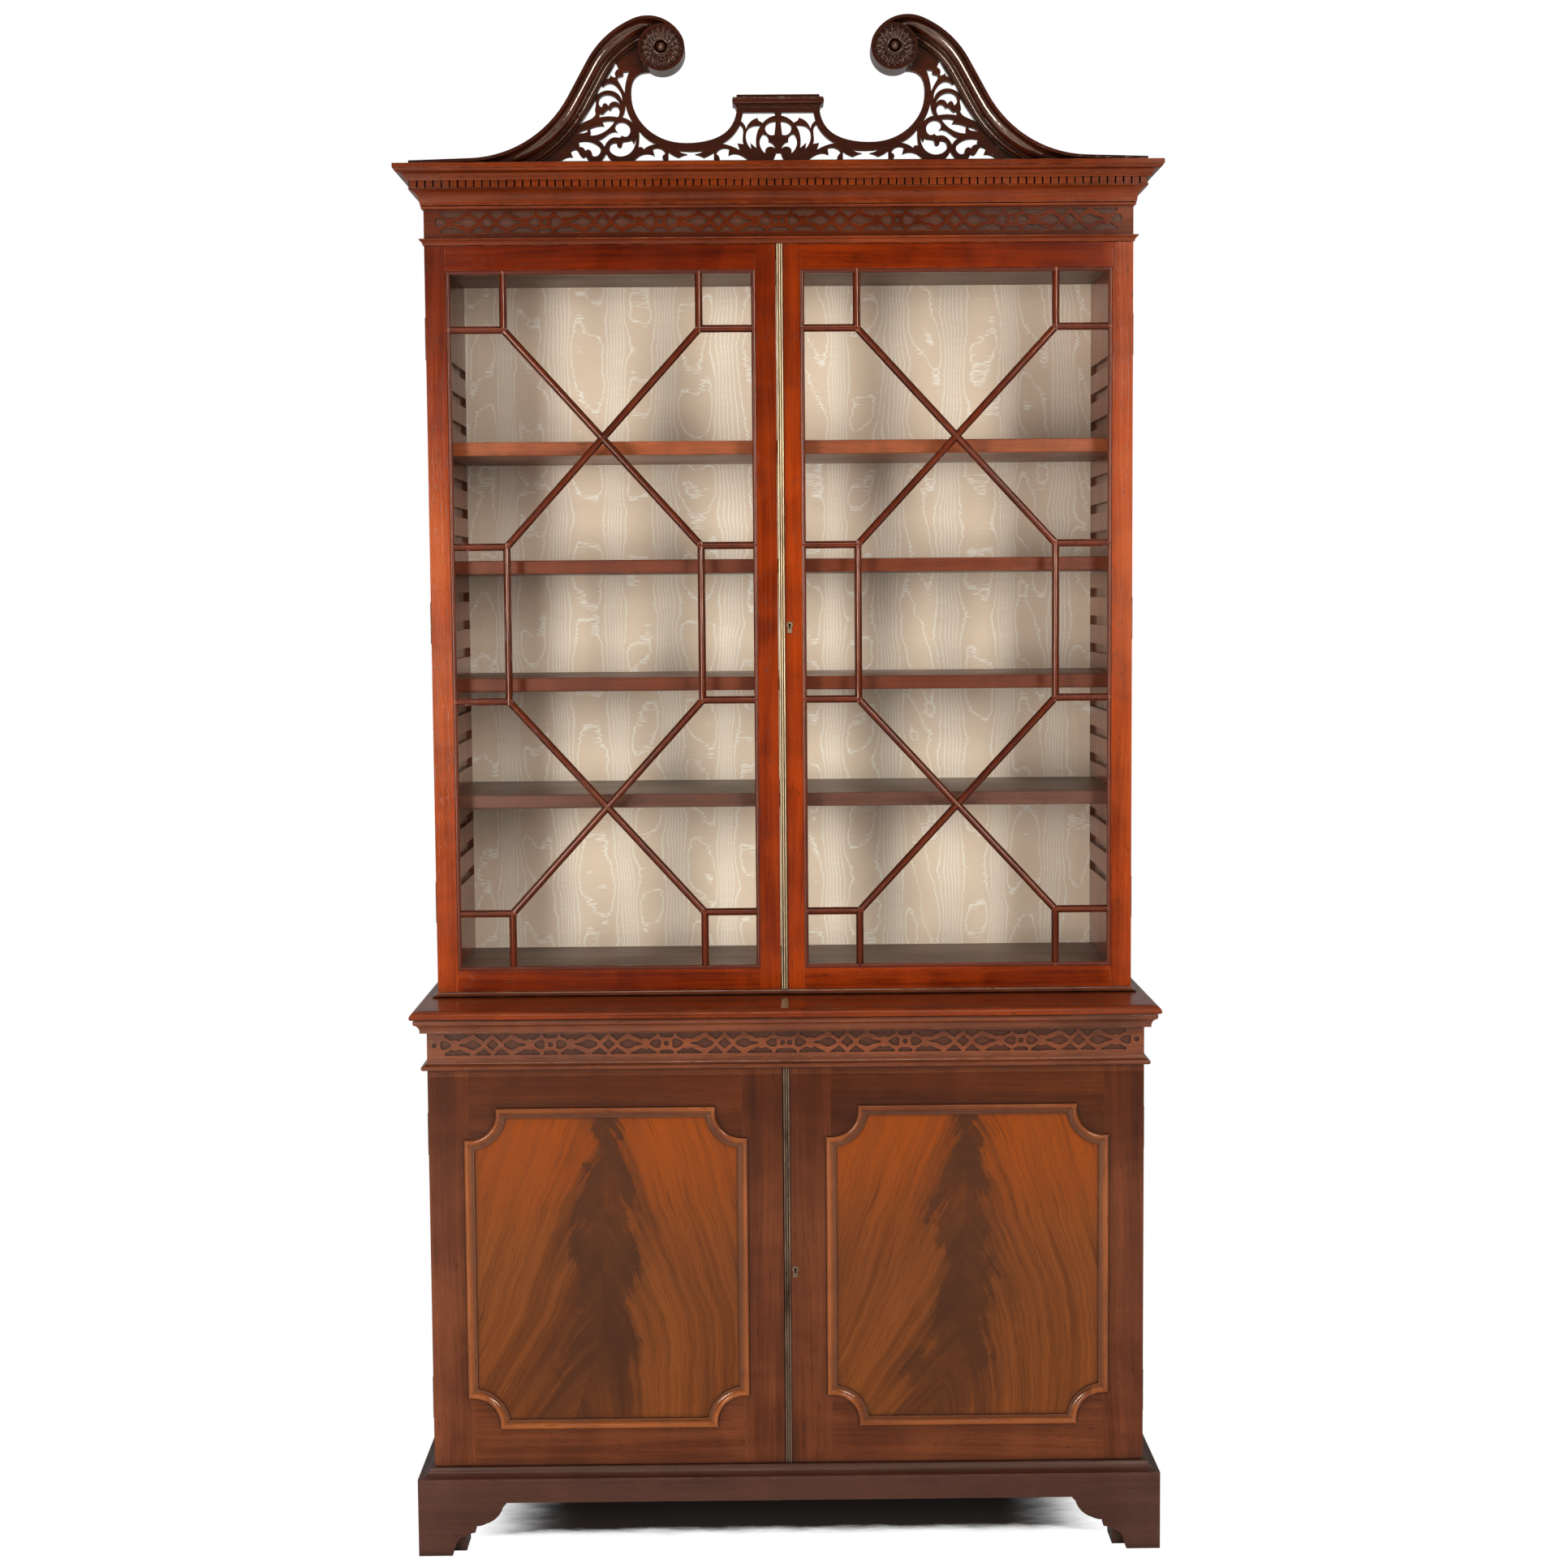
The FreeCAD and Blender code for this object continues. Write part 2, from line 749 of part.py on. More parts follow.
def make_cornice():
    high = cornice_cove_height
    out = cornice_cove_reach
    steps = [(out * 0.26, 0), (out * 0.45, high * 0.58, out * 0.96, high * 0.90), (out, high * 0.92),
             (out, high)]
    runs = moulding_run(upper_half, upper_face_y, cornice_cove_bottom, high, steps)
    high = crown_height
    out = crown_reach
    steps = [(out * 0.58, 0), (out * 0.61, high * 0.20), (out * 0.64, high * 0.21),
             (out * 0.69, high * 0.40, out * 0.80, high * 0.47),
             (out * 0.92, high * 0.53, out * 0.965, high * 0.70),
             (out, high * 0.71), (out, high)]
    runs += moulding_run(upper_half, upper_face_y, crown_bottom, high, steps)
    write("cornice_mouldings", runs)
    write("dust_board", box(-upper_half, upper_half, upper_case_y, back_y,
                            cornice_top - dust_board_thickness, cornice_top))


def comb(length, from_start):
    # Teeth along a strip, as (along, out) points from its start to its end.
    points = []
    count = math.ceil((length - from_start) / tooth_pitch)
    for number in range(count):
        start = from_start + number * tooth_pitch
        end = min(start + tooth_width, length)
        points += [(start, tooth_root), (start, tooth_root + tooth_depth),
                   (end, tooth_root + tooth_depth), (end, tooth_root)]
    return points


def make_dentils():
    reach = tooth_root + tooth_depth
    half = upper_half
    face = upper_face_y
    count = int((half + tooth_root) // tooth_pitch)
    front = []
    for number in range(-count, count + 1):
        centre = number * tooth_pitch
        low = max(centre - tooth_width / 2, -half - reach)
        high = min(centre + tooth_width / 2, half + reach)
        front += [(low, face - tooth_root), (low, face - reach), (high, face - reach),
                  (high, face - tooth_root)]
    plan = ([(-half - tooth_root, face - tooth_root)] + front
            + [(half + tooth_root, face - tooth_root), (half, face), (half, face + front_depth),
               (-half, face + front_depth), (-half, face)])
    front_strip = prism_plan(plan, dentil_bottom, crown_bottom)

    side = []
    length = back_y - face
    for along, out in comb(length, tooth_pitch - tooth_width):
        side.append((half + out, face + along))
    plan = ([(half, face), (half + tooth_root, face - tooth_root)] + side
            + [(half + tooth_root, back_y), (half, back_y)])
    side_strip = prism_plan(plan, dentil_bottom, crown_bottom)
    write("dentils", [front_strip, side_strip, mirrored(side_strip)])


# Pediment

# The openings of the pierced board's left half, as (out from the middle, up from its foot), in shares of
# the pediment's height.
pediment_opening_shares = [
    [[(1.090, 0.687), (1.071, 0.644)], [(1.071, 0.644), (1.092, 0.627), (1.089, 0.591)],
     [(1.089, 0.591), (1.110, 0.593), (1.128, 0.610)], [(1.128, 0.610), (1.131, 0.590), (1.155, 0.581)],
     [(1.155, 0.581), (1.121, 0.635), (1.090, 0.687)]],
    [[(1.042, 0.624), (0.999, 0.629)], [(0.999, 0.629), (1.021, 0.563), (1.032, 0.488)],
     [(1.032, 0.488), (1.056, 0.535), (1.077, 0.571)],
     [(1.077, 0.571), (1.072, 0.591), (1.047, 0.598), (1.042, 0.624)]],
    [[(1.216, 0.474), (1.206, 0.508), (1.190, 0.536)], [(1.190, 0.536), (1.175, 0.528)],
     [(1.175, 0.528), (1.161, 0.542), (1.125, 0.551), (1.081, 0.524), (1.054, 0.477), (1.050, 0.436)],
     [(1.050, 0.436), (1.082, 0.485), (1.140, 0.504), (1.187, 0.494), (1.216, 0.474)]],
    [[(1.185, 0.392), (1.206, 0.414), (1.199, 0.453), (1.155, 0.476), (1.100, 0.460), (1.067, 0.409)],
     [(1.067, 0.409), (1.090, 0.429), (1.123, 0.424), (1.140, 0.399)],
     [(1.140, 0.399), (1.151, 0.413), (1.167, 0.420), (1.181, 0.406), (1.185, 0.392)]],
    [[(1.202, 0.352), (1.164, 0.363), (1.148, 0.377), (1.127, 0.369)],
     [(1.127, 0.369), (1.116, 0.391), (1.090, 0.398), (1.070, 0.377), (1.069, 0.348), (1.079, 0.327)],
     [(1.079, 0.327), (1.142, 0.333), (1.205, 0.326)], [(1.205, 0.326), (1.202, 0.352)]],
    [[(1.230, 0.440), (1.227, 0.406), (1.232, 0.378), (1.228, 0.349)],
     [(1.228, 0.349), (1.245, 0.326), (1.289, 0.303), (1.342, 0.272)],
     [(1.342, 0.272), (1.288, 0.349), (1.230, 0.440)]],
    [[(1.028, 0.409), (1.010, 0.348), (0.978, 0.286)], [(0.978, 0.286), (1.011, 0.312), (1.051, 0.325)],
     [(1.051, 0.325), (1.034, 0.362), (1.028, 0.409)]],
    [[(1.358, 0.209), (1.327, 0.236), (1.281, 0.249)],
     [(1.281, 0.249), (1.290, 0.230), (1.316, 0.222), (1.358, 0.209)]],
    [[(1.269, 0.252), (1.231, 0.266), (1.172, 0.271)], [(1.172, 0.271), (1.185, 0.297)],
     [(1.185, 0.297), (1.143, 0.304), (1.100, 0.299)],
     [(1.100, 0.299), (1.151, 0.244), (1.202, 0.216), (1.268, 0.206)],
     [(1.268, 0.206), (1.264, 0.229), (1.269, 0.252)]],
    [[(1.099, 0.266), (1.066, 0.294), (1.019, 0.281), (0.997, 0.240), (1.011, 0.204), (1.055, 0.206)],
     [(1.055, 0.206), (1.062, 0.195), (1.100, 0.194), (1.148, 0.169), (1.171, 0.132)],
     [(1.171, 0.132), (1.190, 0.158), (1.221, 0.179)],
     [(1.221, 0.179), (1.159, 0.206), (1.122, 0.229), (1.082, 0.227)],
     [(1.082, 0.227), (1.096, 0.246), (1.099, 0.266)]],
    [[(1.136, 0.133), (1.115, 0.156), (1.086, 0.153)],
     [(1.086, 0.153), (1.078, 0.129), (1.059, 0.131), (1.049, 0.159), (1.020, 0.168), (0.988, 0.176)],
     [(0.988, 0.176), (0.978, 0.150)], [(0.978, 0.150), (0.962, 0.176), (0.959, 0.200)],
     [(0.959, 0.200), (0.964, 0.146), (0.992, 0.096), (1.054, 0.067), (1.113, 0.081), (1.136, 0.106),
      (1.136, 0.133)]],
    [[(1.350, 0.164), (1.291, 0.170), (1.229, 0.148), (1.198, 0.111), (1.212, 0.078), (1.241, 0.068),
      (1.257, 0.079)], [(1.257, 0.079), (1.263, 0.103), (1.277, 0.113), (1.299, 0.105)],
     [(1.299, 0.105), (1.320, 0.128), (1.350, 0.130)], [(1.350, 0.130), (1.341, 0.147), (1.350, 0.164)]],
    [[(1.470, 0.038), (1.432, 0.062), (1.386, 0.066)], [(1.386, 0.066), (1.400, 0.103)],
     [(1.400, 0.103), (1.354, 0.105), (1.335, 0.074), (1.318, 0.062), (1.301, 0.070)],
     [(1.301, 0.070), (1.280, 0.038)], [(1.280, 0.038), (1.470, 0.038)]],
    [[(1.196, 0.038), (1.177, 0.061), (1.160, 0.086)], [(1.160, 0.086), (1.146, 0.061), (1.125, 0.038)],
     [(1.125, 0.038), (1.196, 0.038)]],
    [[(0.937, 0.234), (0.895, 0.189), (0.824, 0.148)], [(0.824, 0.148), (0.868, 0.137), (0.909, 0.113)],
     [(0.909, 0.113), (0.920, 0.127), (0.944, 0.123)], [(0.944, 0.123), (0.938, 0.175), (0.937, 0.234)]],
    [[(0.970, 0.038), (0.919, 0.079), (0.867, 0.083), (0.834, 0.070)], [(0.834, 0.070), (0.846, 0.115)],
     [(0.846, 0.115), (0.808, 0.121), (0.772, 0.100), (0.762, 0.081)],
     [(0.762, 0.081), (0.782, 0.062), (0.773, 0.038)], [(0.773, 0.038), (0.970, 0.038)]],
    [[(0.742, 0.038), (0.741, 0.093)], [(0.741, 0.093), (0.707, 0.072), (0.673, 0.058)],
     [(0.673, 0.058), (0.646, 0.071), (0.615, 0.079)], [(0.615, 0.079), (0.648, 0.087), (0.680, 0.105)],
     [(0.680, 0.105), (0.588, 0.098), (0.496, 0.104)], [(0.496, 0.104), (0.529, 0.086), (0.562, 0.079)],
     [(0.562, 0.079), (0.530, 0.070), (0.503, 0.057)], [(0.503, 0.057), (0.470, 0.071), (0.435, 0.091)],
     [(0.435, 0.091), (0.436, 0.038)], [(0.436, 0.038), (0.742, 0.038)]],
    [[(0.421, 0.081), (0.401, 0.106), (0.332, 0.112)], [(0.332, 0.112), (0.338, 0.070)],
     [(0.338, 0.070), (0.296, 0.082), (0.241, 0.065), (0.206, 0.038)], [(0.206, 0.038), (0.395, 0.038)],
     [(0.395, 0.038), (0.402, 0.064), (0.421, 0.081)]],
    [[(0.383, 0.148), (0.322, 0.187), (0.282, 0.231), (0.258, 0.271)],
     [(0.258, 0.271), (0.239, 0.248), (0.240, 0.190), (0.232, 0.142)], [(0.232, 0.142), (0.275, 0.149)],
     [(0.275, 0.149), (0.260, 0.104)], [(0.260, 0.104), (0.320, 0.132), (0.383, 0.148)]],
    [[(0.217, 0.217), (0.194, 0.253), (0.162, 0.266), (0.119, 0.265)],
     [(0.119, 0.265), (0.145, 0.210), (0.151, 0.162), (0.148, 0.117)], [(0.148, 0.117), (0.188, 0.150)],
     [(0.188, 0.150), (0.183, 0.111)], [(0.183, 0.111), (0.212, 0.155), (0.217, 0.217)]],
    [[(0.237, 0.353), (0.025, 0.353)], [(0.025, 0.353), (0.019, 0.331)],
     [(0.019, 0.331), (0.068, 0.314), (0.105, 0.283)], [(0.105, 0.283), (0.134, 0.300)],
     [(0.134, 0.300), (0.138, 0.316)], [(0.138, 0.316), (0.190, 0.289), (0.217, 0.245)],
     [(0.217, 0.245), (0.230, 0.276), (0.251, 0.296)], [(0.251, 0.296), (0.237, 0.353)]],
    [[(0.017, 0.293), (0.057, 0.286), (0.087, 0.258), (0.086, 0.234), (0.026, 0.204)],
     [(0.026, 0.204), (0.021, 0.250), (0.017, 0.293)]],
    [[(0.103, 0.210), (0.125, 0.169), (0.116, 0.114), (0.086, 0.081)],
     [(0.086, 0.081), (0.079, 0.117), (0.052, 0.126), (0.022, 0.110)],
     [(0.022, 0.110), (0.036, 0.142), (0.067, 0.160)], [(0.067, 0.160), (0.072, 0.190), (0.103, 0.210)]],
]
foot_gap_shares = [(-0.014, 0.086), (0.014, 0.086), (0.033, 0.038), (-0.033, 0.038)]
bowl_shares = [(0.977, 0.557), (0.988, 0.478), (0.979, 0.406), (0.935, 0.308), (0.846, 0.219),
               (0.729, 0.166), (0.602, 0.153), (0.505, 0.162), (0.414, 0.188), (0.344, 0.232),
               (0.294, 0.307), (0.279, 0.381)]
bowl_start_share = 0.630
pedestal_half_share = 0.279
cap_bottom_share = 0.381
cap_top_share = 0.471
cap_half_share = 0.308


def turned(point, centre, angle):
    # Clockwise from the heading that points inward, seen with the left half drawn on the right.
    across = point[0] - centre[0]
    up = point[1] - centre[1]
    return (centre[0] + across * math.cos(angle) - up * math.sin(angle),
            centre[1] + across * math.sin(angle) + up * math.cos(angle))


def neck_path():
    # The swan neck's outer edge, walked back from the scroll to the tail.
    # Places are (in, up): in is measured towards the middle, so the middle is 0 and the tail negative.
    scroll = (-scroll_centre_x, pediment_top - scroll_radius)
    crest_heading = tail_slope_angle + tail_turn_angle - crest_turn_angle
    straight_heading = tail_slope_angle + tail_turn_angle

    def ahead(centre, radius, heading):
        return (centre[0] - radius * math.sin(heading), centre[1] + radius * math.cos(heading))

    drum = (scroll[0] + (scroll_radius - drum_radius) * math.cos(drum_lean_angle),
            scroll[1] + (scroll_radius - drum_radius) * math.sin(drum_lean_angle))
    scroll_end = (scroll[0] + scroll_radius * math.cos(drum_lean_angle),
                  scroll[1] + scroll_radius * math.sin(drum_lean_angle))
    scroll_start = ahead(scroll, scroll_radius, crest_heading)
    crest = (scroll_start[0] + crest_radius * math.sin(crest_heading),
             scroll_start[1] - crest_radius * math.cos(crest_heading))
    crest_start = ahead(crest, crest_radius, straight_heading)
    straight_start = (crest_start[0] - neck_straight * math.cos(straight_heading),
                      crest_start[1] - neck_straight * math.sin(straight_heading))
    tail = (straight_start[0] - tail_radius * math.sin(straight_heading),
            straight_start[1] + tail_radius * math.cos(straight_heading))
    tail_start = (tail[0] + tail_radius * math.sin(tail_slope_angle),
                  tail[1] - tail_radius * math.cos(tail_slope_angle))
    tail_run = (tail_start[0] + pediment_half_width) / math.cos(tail_slope_angle)
    tip = (-pediment_half_width, tail_start[1] - tail_run * math.sin(tail_slope_angle))
    return {
        "tip": tip, "tail_start": tail_start, "tail": tail, "straight_start": straight_start,
        "crest_start": crest_start, "crest": crest, "scroll_start": scroll_start, "scroll": scroll,
        "scroll_end": scroll_end, "drum": drum, "straight_heading": straight_heading,
        "crest_heading": crest_heading,
    }


def middle_of_arc(start, centre, angle):
    return turned(start, centre, angle / 2)


def neck_outline(path):
    # Strokes from the tail's tip to the end of the scroll.
    scroll_turn = math.atan2(path["scroll_end"][1] - path["scroll"][1],
                             path["scroll_end"][0] - path["scroll"][0])
    scroll_turn -= math.atan2(path["scroll_start"][1] - path["scroll"][1],
                              path["scroll_start"][0] - path["scroll"][0])
    return [
        [path["tip"], path["tail_start"]],
        [path["tail_start"], middle_of_arc(path["tail_start"], path["tail"], tail_turn_angle),
         path["straight_start"]],
        [path["straight_start"], path["crest_start"]],
        [path["crest_start"], middle_of_arc(path["crest_start"], path["crest"], -crest_turn_angle),
         path["scroll_start"]],
        [path["scroll_start"], middle_of_arc(path["scroll_start"], path["scroll"], scroll_turn),
         path["scroll_end"]],
    ]


def make_pediment_board():
    path = neck_path()
    high = pediment_module

    def share(point):
        return (-point[0] * high, cornice_top + point[1] * high)

    drum = path["drum"]
    bowl = [share(point) for point in bowl_shares]
    bowl_start = (drum[0] - drum_radius * math.cos(bowl_start_share * math.pi / 2),
                  drum[1] - drum_radius * math.sin(bowl_start_share * math.pi / 2))
    turn = math.atan2(bowl_start[1] - drum[1], bowl_start[0] - drum[0])
    turn -= math.atan2(path["scroll_end"][1] - drum[1], path["scroll_end"][0] - drum[0])
    half = neck_outline(path)
    half.append([path["scroll_end"], middle_of_arc(path["scroll_end"], drum, turn), bowl_start])
    half.append([bowl_start] + bowl)
    left_top = (bowl[-1][0], cornice_top + cap_bottom_share * high)
    other = [[(-across, up) for across, up in reversed(points)] for points in reversed(half)]
    foot = [[(pediment_half_width, cornice_top), (-pediment_half_width, cornice_top)],
            [(-pediment_half_width, cornice_top), path["tip"]]]
    tip_mirror = (-path["tip"][0], path["tip"][1])
    strokes = half + [[left_top, (-left_top[0], left_top[1])]] + other
    strokes += [[tip_mirror, (pediment_half_width, cornice_top)]] + foot
    front = upper_face_y + pediment_set_back
    holes = []
    for opening in pediment_opening_shares:
        placed = [[share(point) for point in points] for points in opening]
        holes.append(ring(placed, on_front(front)))
        other = [[(-across, up) for across, up in points] for points in placed]
        holes.append(ring(other, on_front(front)))
    holes.append(polygon([share(point) for point in foot_gap_shares], on_front(front)))
    board = pierced(ring(strokes, on_front(front)), holes).extrude(along_y * pediment_board_thickness)
    write("pediment_fret", board)


def make_swan_necks():
    # The moulding's section is (in from the outer edge, out from the board).
    wide = neck_moulding_width
    deep = neck_moulding_depth
    section = chain((0, 0), [(0, deep), (wide * 0.15, deep),
                             (wide * 0.20, deep * 0.80, wide * 0.40, deep * 0.68),
                             (wide * 0.58, deep * 0.56, wide * 0.66, deep * 0.38),
                             (wide * 0.72, deep * 0.38), (wide * 0.72, deep * 0.30),
                             (wide * 0.87, deep * 0.28, wide * 0.88, deep * 0.14),
                             (wide, deep * 0.14), (wide, 0)])
    path = neck_path()
    front = upper_face_y + pediment_set_back

    def section_at(point, heading):
        # Inward from the outer edge is to the right of the heading.
        place = lambda inward, out: vector(point[0] + inward * math.sin(heading), front - out,
                                           point[1] - inward * math.cos(heading))
        return Part.Face(ring(section, place))

    def turn_about(face, centre, angle):
        return face.revolve(vector(centre[0], front, centre[1]), along_y, -math.degrees(angle))

    tail_run = vector(path["tail_start"][0] - path["tip"][0], 0, path["tail_start"][1] - path["tip"][1])
    straight_run = vector(path["crest_start"][0] - path["straight_start"][0], 0,
                          path["crest_start"][1] - path["straight_start"][1])
    scroll_turn = math.pi / 2 + path["crest_heading"] - drum_lean_angle
    pieces = [
        section_at(path["tip"], tail_slope_angle).extrude(tail_run),
        turn_about(section_at(path["tail_start"], tail_slope_angle), path["tail"], tail_turn_angle),
        section_at(path["straight_start"], path["straight_heading"]).extrude(straight_run),
        turn_about(section_at(path["crest_start"], path["straight_heading"]), path["crest"],
                   -crest_turn_angle),
        turn_about(section_at(path["scroll_start"], path["crest_heading"]), path["scroll"], -scroll_turn),
    ]
    drum = Part.makeCylinder(drum_radius, deep, vector(path["drum"][0], front - deep, path["drum"][1]),
                             along_y)
    neck = joined(pieces + [drum])
    keep = box(-pediment_half_width, 0, front - deep - overrun, front, cornice_top,
               pediment_top + overrun)
    neck = neck.common(keep).removeSplitter()
    write("swan_necks", [neck, mirrored(neck)])


def make_rosettes():
    # A turned centre with a ring and a dome, and petals round it, each half of a rounded cone.
    # It is made about the origin and then carried to the drum.
    ring_in = rosette_ring_radius - rosette_ring_half
    ring_out = rosette_ring_radius + rosette_ring_half
    profile = chain((0, 0), [(ring_out, 0), (ring_out, rosette_ring_half),
                             (rosette_ring_radius + rosette_ring_half / 2, rosette_ring_half * 2),
                             (rosette_ring_radius - rosette_ring_half / 2, rosette_ring_half * 2),
                             (ring_in, rosette_ring_half),
                             (ring_in * 0.75, rosette_dome_height * 0.85, 0, rosette_dome_height)])
    place = lambda out, up: vector(out, -up, 0)
    pieces = [Part.Face(ring(profile, place)).revolve(middle, along_y, 360)]
    wide = rosette_petal_radius
    shoulder = wide * math.cos(math.pi / 4)
    reach = rosette_radius - wide
    outline = chain((ring_in, 0), [(ring_in, rosette_petal_root), (reach, wide),
                                   (reach + shoulder, shoulder, rosette_radius, 0)])
    place = lambda out, up: vector(out, 0, up)
    petal = Part.Face(ring(outline, place)).revolve(middle, along_x, 180)
    for number in range(rosette_petals):
        pieces.append(petal.copy().rotate(middle, along_y, 360 * number / rosette_petals))
    carved = joined(pieces)
    drum = neck_path()["drum"]
    carved.translate(vector(drum[0], upper_face_y + pediment_set_back - neck_moulding_depth, drum[1]))
    write("rosettes", [carved, mirrored(carved)])


def make_pediment_cap():
    bottom = cornice_top + cap_bottom_share * pediment_module
    high = (cap_top_share - cap_bottom_share) * pediment_module
    half = pedestal_half_share * pediment_module
    out = (cap_half_share - pedestal_half_share) * pediment_module
    front = upper_face_y + pediment_set_back
    steps = [(0, 0), (out * 0.3, high * 0.12), (out * 0.35, high * 0.25),
             (out * 1.0, high * 0.38, out, high * 0.62), (out * 0.8, high * 0.78), (0, high * 0.80),
             (0, high)]
    write("pediment_cap", moulded_slab(half, front, bottom, high, front + cap_depth - out, steps))


# Hinges: the axis stands just outside the case's side, in the gap behind the door

def upper_hinge_heights():
    middle_height = (upper_door_bottom + upper_door_top) / 2
    return [upper_door_bottom + upper_hinge_inset, middle_height, upper_door_top - upper_hinge_inset]


def lower_hinge_heights():
    return [lower_door_bottom + lower_hinge_inset, lower_door_top - lower_hinge_inset]


def hinge_axis(half, axis_y, height):
    return vector(half + hinge_out, axis_y, height)


def hinge_notch(half, axis_y, height):
    low = hinge_axis(half, axis_y, height - hinge_length / 2 - pocket_play)
    return Part.makeCylinder(hinge_notch_radius, hinge_length + 2 * pocket_play, low)


def hinge_pocket(half, y_low, y_high, height):
    reach = hinge_length / 2 + pocket_play
    return box(half - hinge_leaf_width - pocket_play, half + overrun, y_low, y_high,
               height - reach, height + reach)


def hinge_case_cut(half, axis_y, height):
    face = axis_y + door_gap / 2
    pocket = hinge_pocket(half, face, face + hinge_leaf_depth, height)
    return pocket.fuse(hinge_notch(half, axis_y, height))


def hinge_door_cut(half, axis_y, height):
    face = axis_y - door_gap / 2
    pocket = hinge_pocket(half, face - hinge_leaf_depth, face, height)
    return pocket.fuse(hinge_notch(half, axis_y, height))


def hinge_leaf(half, axis_y, height, on_case):
    # One leaf with its knuckles. The case's leaf has the odd number of them.
    step = hinge_length / hinge_knuckles
    face = axis_y + door_gap / 2 if on_case else axis_y - door_gap / 2
    inner = face + hinge_leaf_depth if on_case else face - hinge_leaf_depth
    outer = inner - hinge_leaf_thickness if on_case else inner + hinge_leaf_thickness
    y_low, y_high = min(inner, outer), max(inner, outer)
    axis_x = half + hinge_out
    bore = hinge_pin_radius if on_case else hinge_pin_radius + hinge_running_gap
    pieces = [box(half - hinge_leaf_width, axis_x - hinge_notch_radius, y_low, y_high,
                  height - hinge_length / 2, height + hinge_length / 2)]
    for number in range(0 if on_case else 1, hinge_knuckles, 2):
        low = height - hinge_length / 2 + number * step + hinge_knuckle_gap / 2
        long = step - hinge_knuckle_gap
        base = vector(axis_x, axis_y, low)
        pieces.append(Part.makeCylinder(hinge_knuckle_radius, long, base))
        pieces.append(box(axis_x - hinge_notch_radius, axis_x, y_low, y_high, low, low + long))
    whole = joined(pieces)
    drill = Part.makeCylinder(bore, hinge_length + 2 * overrun,
                              vector(axis_x, axis_y, height - hinge_length / 2 - overrun))
    return whole.cut(drill)


def hinge_pin(half, axis_y, height):
    low = vector(half + hinge_out, axis_y, height - hinge_length / 2)
    return Part.makeCylinder(hinge_pin_radius, hinge_length, low)


def make_case_hinges():
    leaves = []
    pins = []
    sets = ((upper_half, upper_face_y, upper_hinge_heights()),
            (base_half, base_face_y, lower_hinge_heights()))
    for half, face, heights in sets:
        axis_y = face + door_thickness + door_gap / 2
        for height in heights:
            leaf = hinge_leaf(half, axis_y, height, True)
            pin = hinge_pin(half, axis_y, height)
            leaves += [leaf, mirrored(leaf)]
            pins += [pin, mirrored(pin)]
    write("hinges_fixed", leaves + pins)


def door_leaves(half, face, heights, on_left):
    axis_y = face + door_thickness + door_gap / 2
    leaves = [hinge_leaf(half, axis_y, height, False) for height in heights]
    return [mirrored(leaf) for leaf in leaves] if on_left else leaves


# Locks and bolts

def lock_box(split, face, height, play):
    # The lock case's block, let into the back of the right door's meeting stile.
    left = split
    back = face + door_thickness
    return box(left - play, left + lock_width + play, back - lock_depth - play, back + play,
               height - lock_height / 2 - play, height + lock_height / 2 + play)


def bolt_box(split, face, height, grow, x_low, x_high):
    middle_y = face + door_thickness - lock_depth / 2
    return box(x_low, x_high, middle_y - lock_bolt_depth / 2 - grow, middle_y + lock_bolt_depth / 2 + grow,
               height - lock_bolt_height / 2 - grow, height + lock_bolt_height / 2 + grow)


def key_cut(centre_x, face, height, depth, grow):
    hole = Part.makeCylinder(key_hole_radius + grow, depth, vector(centre_x, face, height), along_y)
    slot = box(centre_x - key_slot_width / 2 - grow, centre_x + key_slot_width / 2 + grow,
               face, face + depth, height - key_slot_length - grow, height)
    return hole.fuse(slot)


def lock_case(split, face, height):
    whole = lock_box(split, face, height, 0)
    hollow = box(split + lock_wall, split + lock_width - lock_wall,
                 face + door_thickness - lock_depth + lock_wall, face + door_thickness - lock_wall,
                 height - lock_height / 2 + lock_wall, height + lock_height / 2 - lock_wall)
    mouth = bolt_box(split, face, height, lock_bolt_play, split - overrun, split + 2 * lock_wall)
    key = key_cut(split + key_backset, face + door_thickness - lock_depth - overrun, height,
                  overrun + 2 * lock_wall, 0)
    # Two guide ribs carry the bolt inside the case.
    ribs = []
    for flip in (1, -1):
        centre = height + flip * (lock_bolt_height + lock_wall + 2 * lock_bolt_play) / 2
        ribs.append(box(split + lock_wall, split + lock_bolt_length,
                        face + door_thickness - lock_depth + lock_wall, face + door_thickness - lock_wall,
                        centre - lock_wall / 2, centre + lock_wall / 2))
    shell = whole.cut(hollow).cut(mouth)
    return joined([shell] + ribs).cut(key)


def lock_bolt(split, face, height):
    # It stands drawn back, with its nose just inside the door's edge.
    start = split + lock_setback
    return bolt_box(split, face, height, 0, start, start + lock_bolt_length)


def strike_cut(split, face, height):
    # The mortise in the left door's edge that the bolt shoots into.
    return bolt_box(split, face, height, lock_bolt_play, split - meeting_gap - lock_throw - overrun,
                    split + overrun)


def escutcheon(split, face, height):
    centre_x = split + key_backset
    disc = Part.makeCylinder(escutcheon_radius, escutcheon_proud,
                             vector(centre_x, face - escutcheon_proud, height), along_y)
    foot = height + escutcheon_radius - escutcheon_length
    narrow = escutcheon_radius / 2
    skirt = prism_front([(centre_x - narrow, height), (centre_x + narrow, height),
                         (centre_x + escutcheon_skirt, foot), (centre_x - escutcheon_skirt, foot)],
                        face - escutcheon_proud, face)
    key = key_cut(centre_x, face - escutcheon_proud - overrun, height, 2 * overrun, 0)
    return joined([disc, skirt]).cut(key)


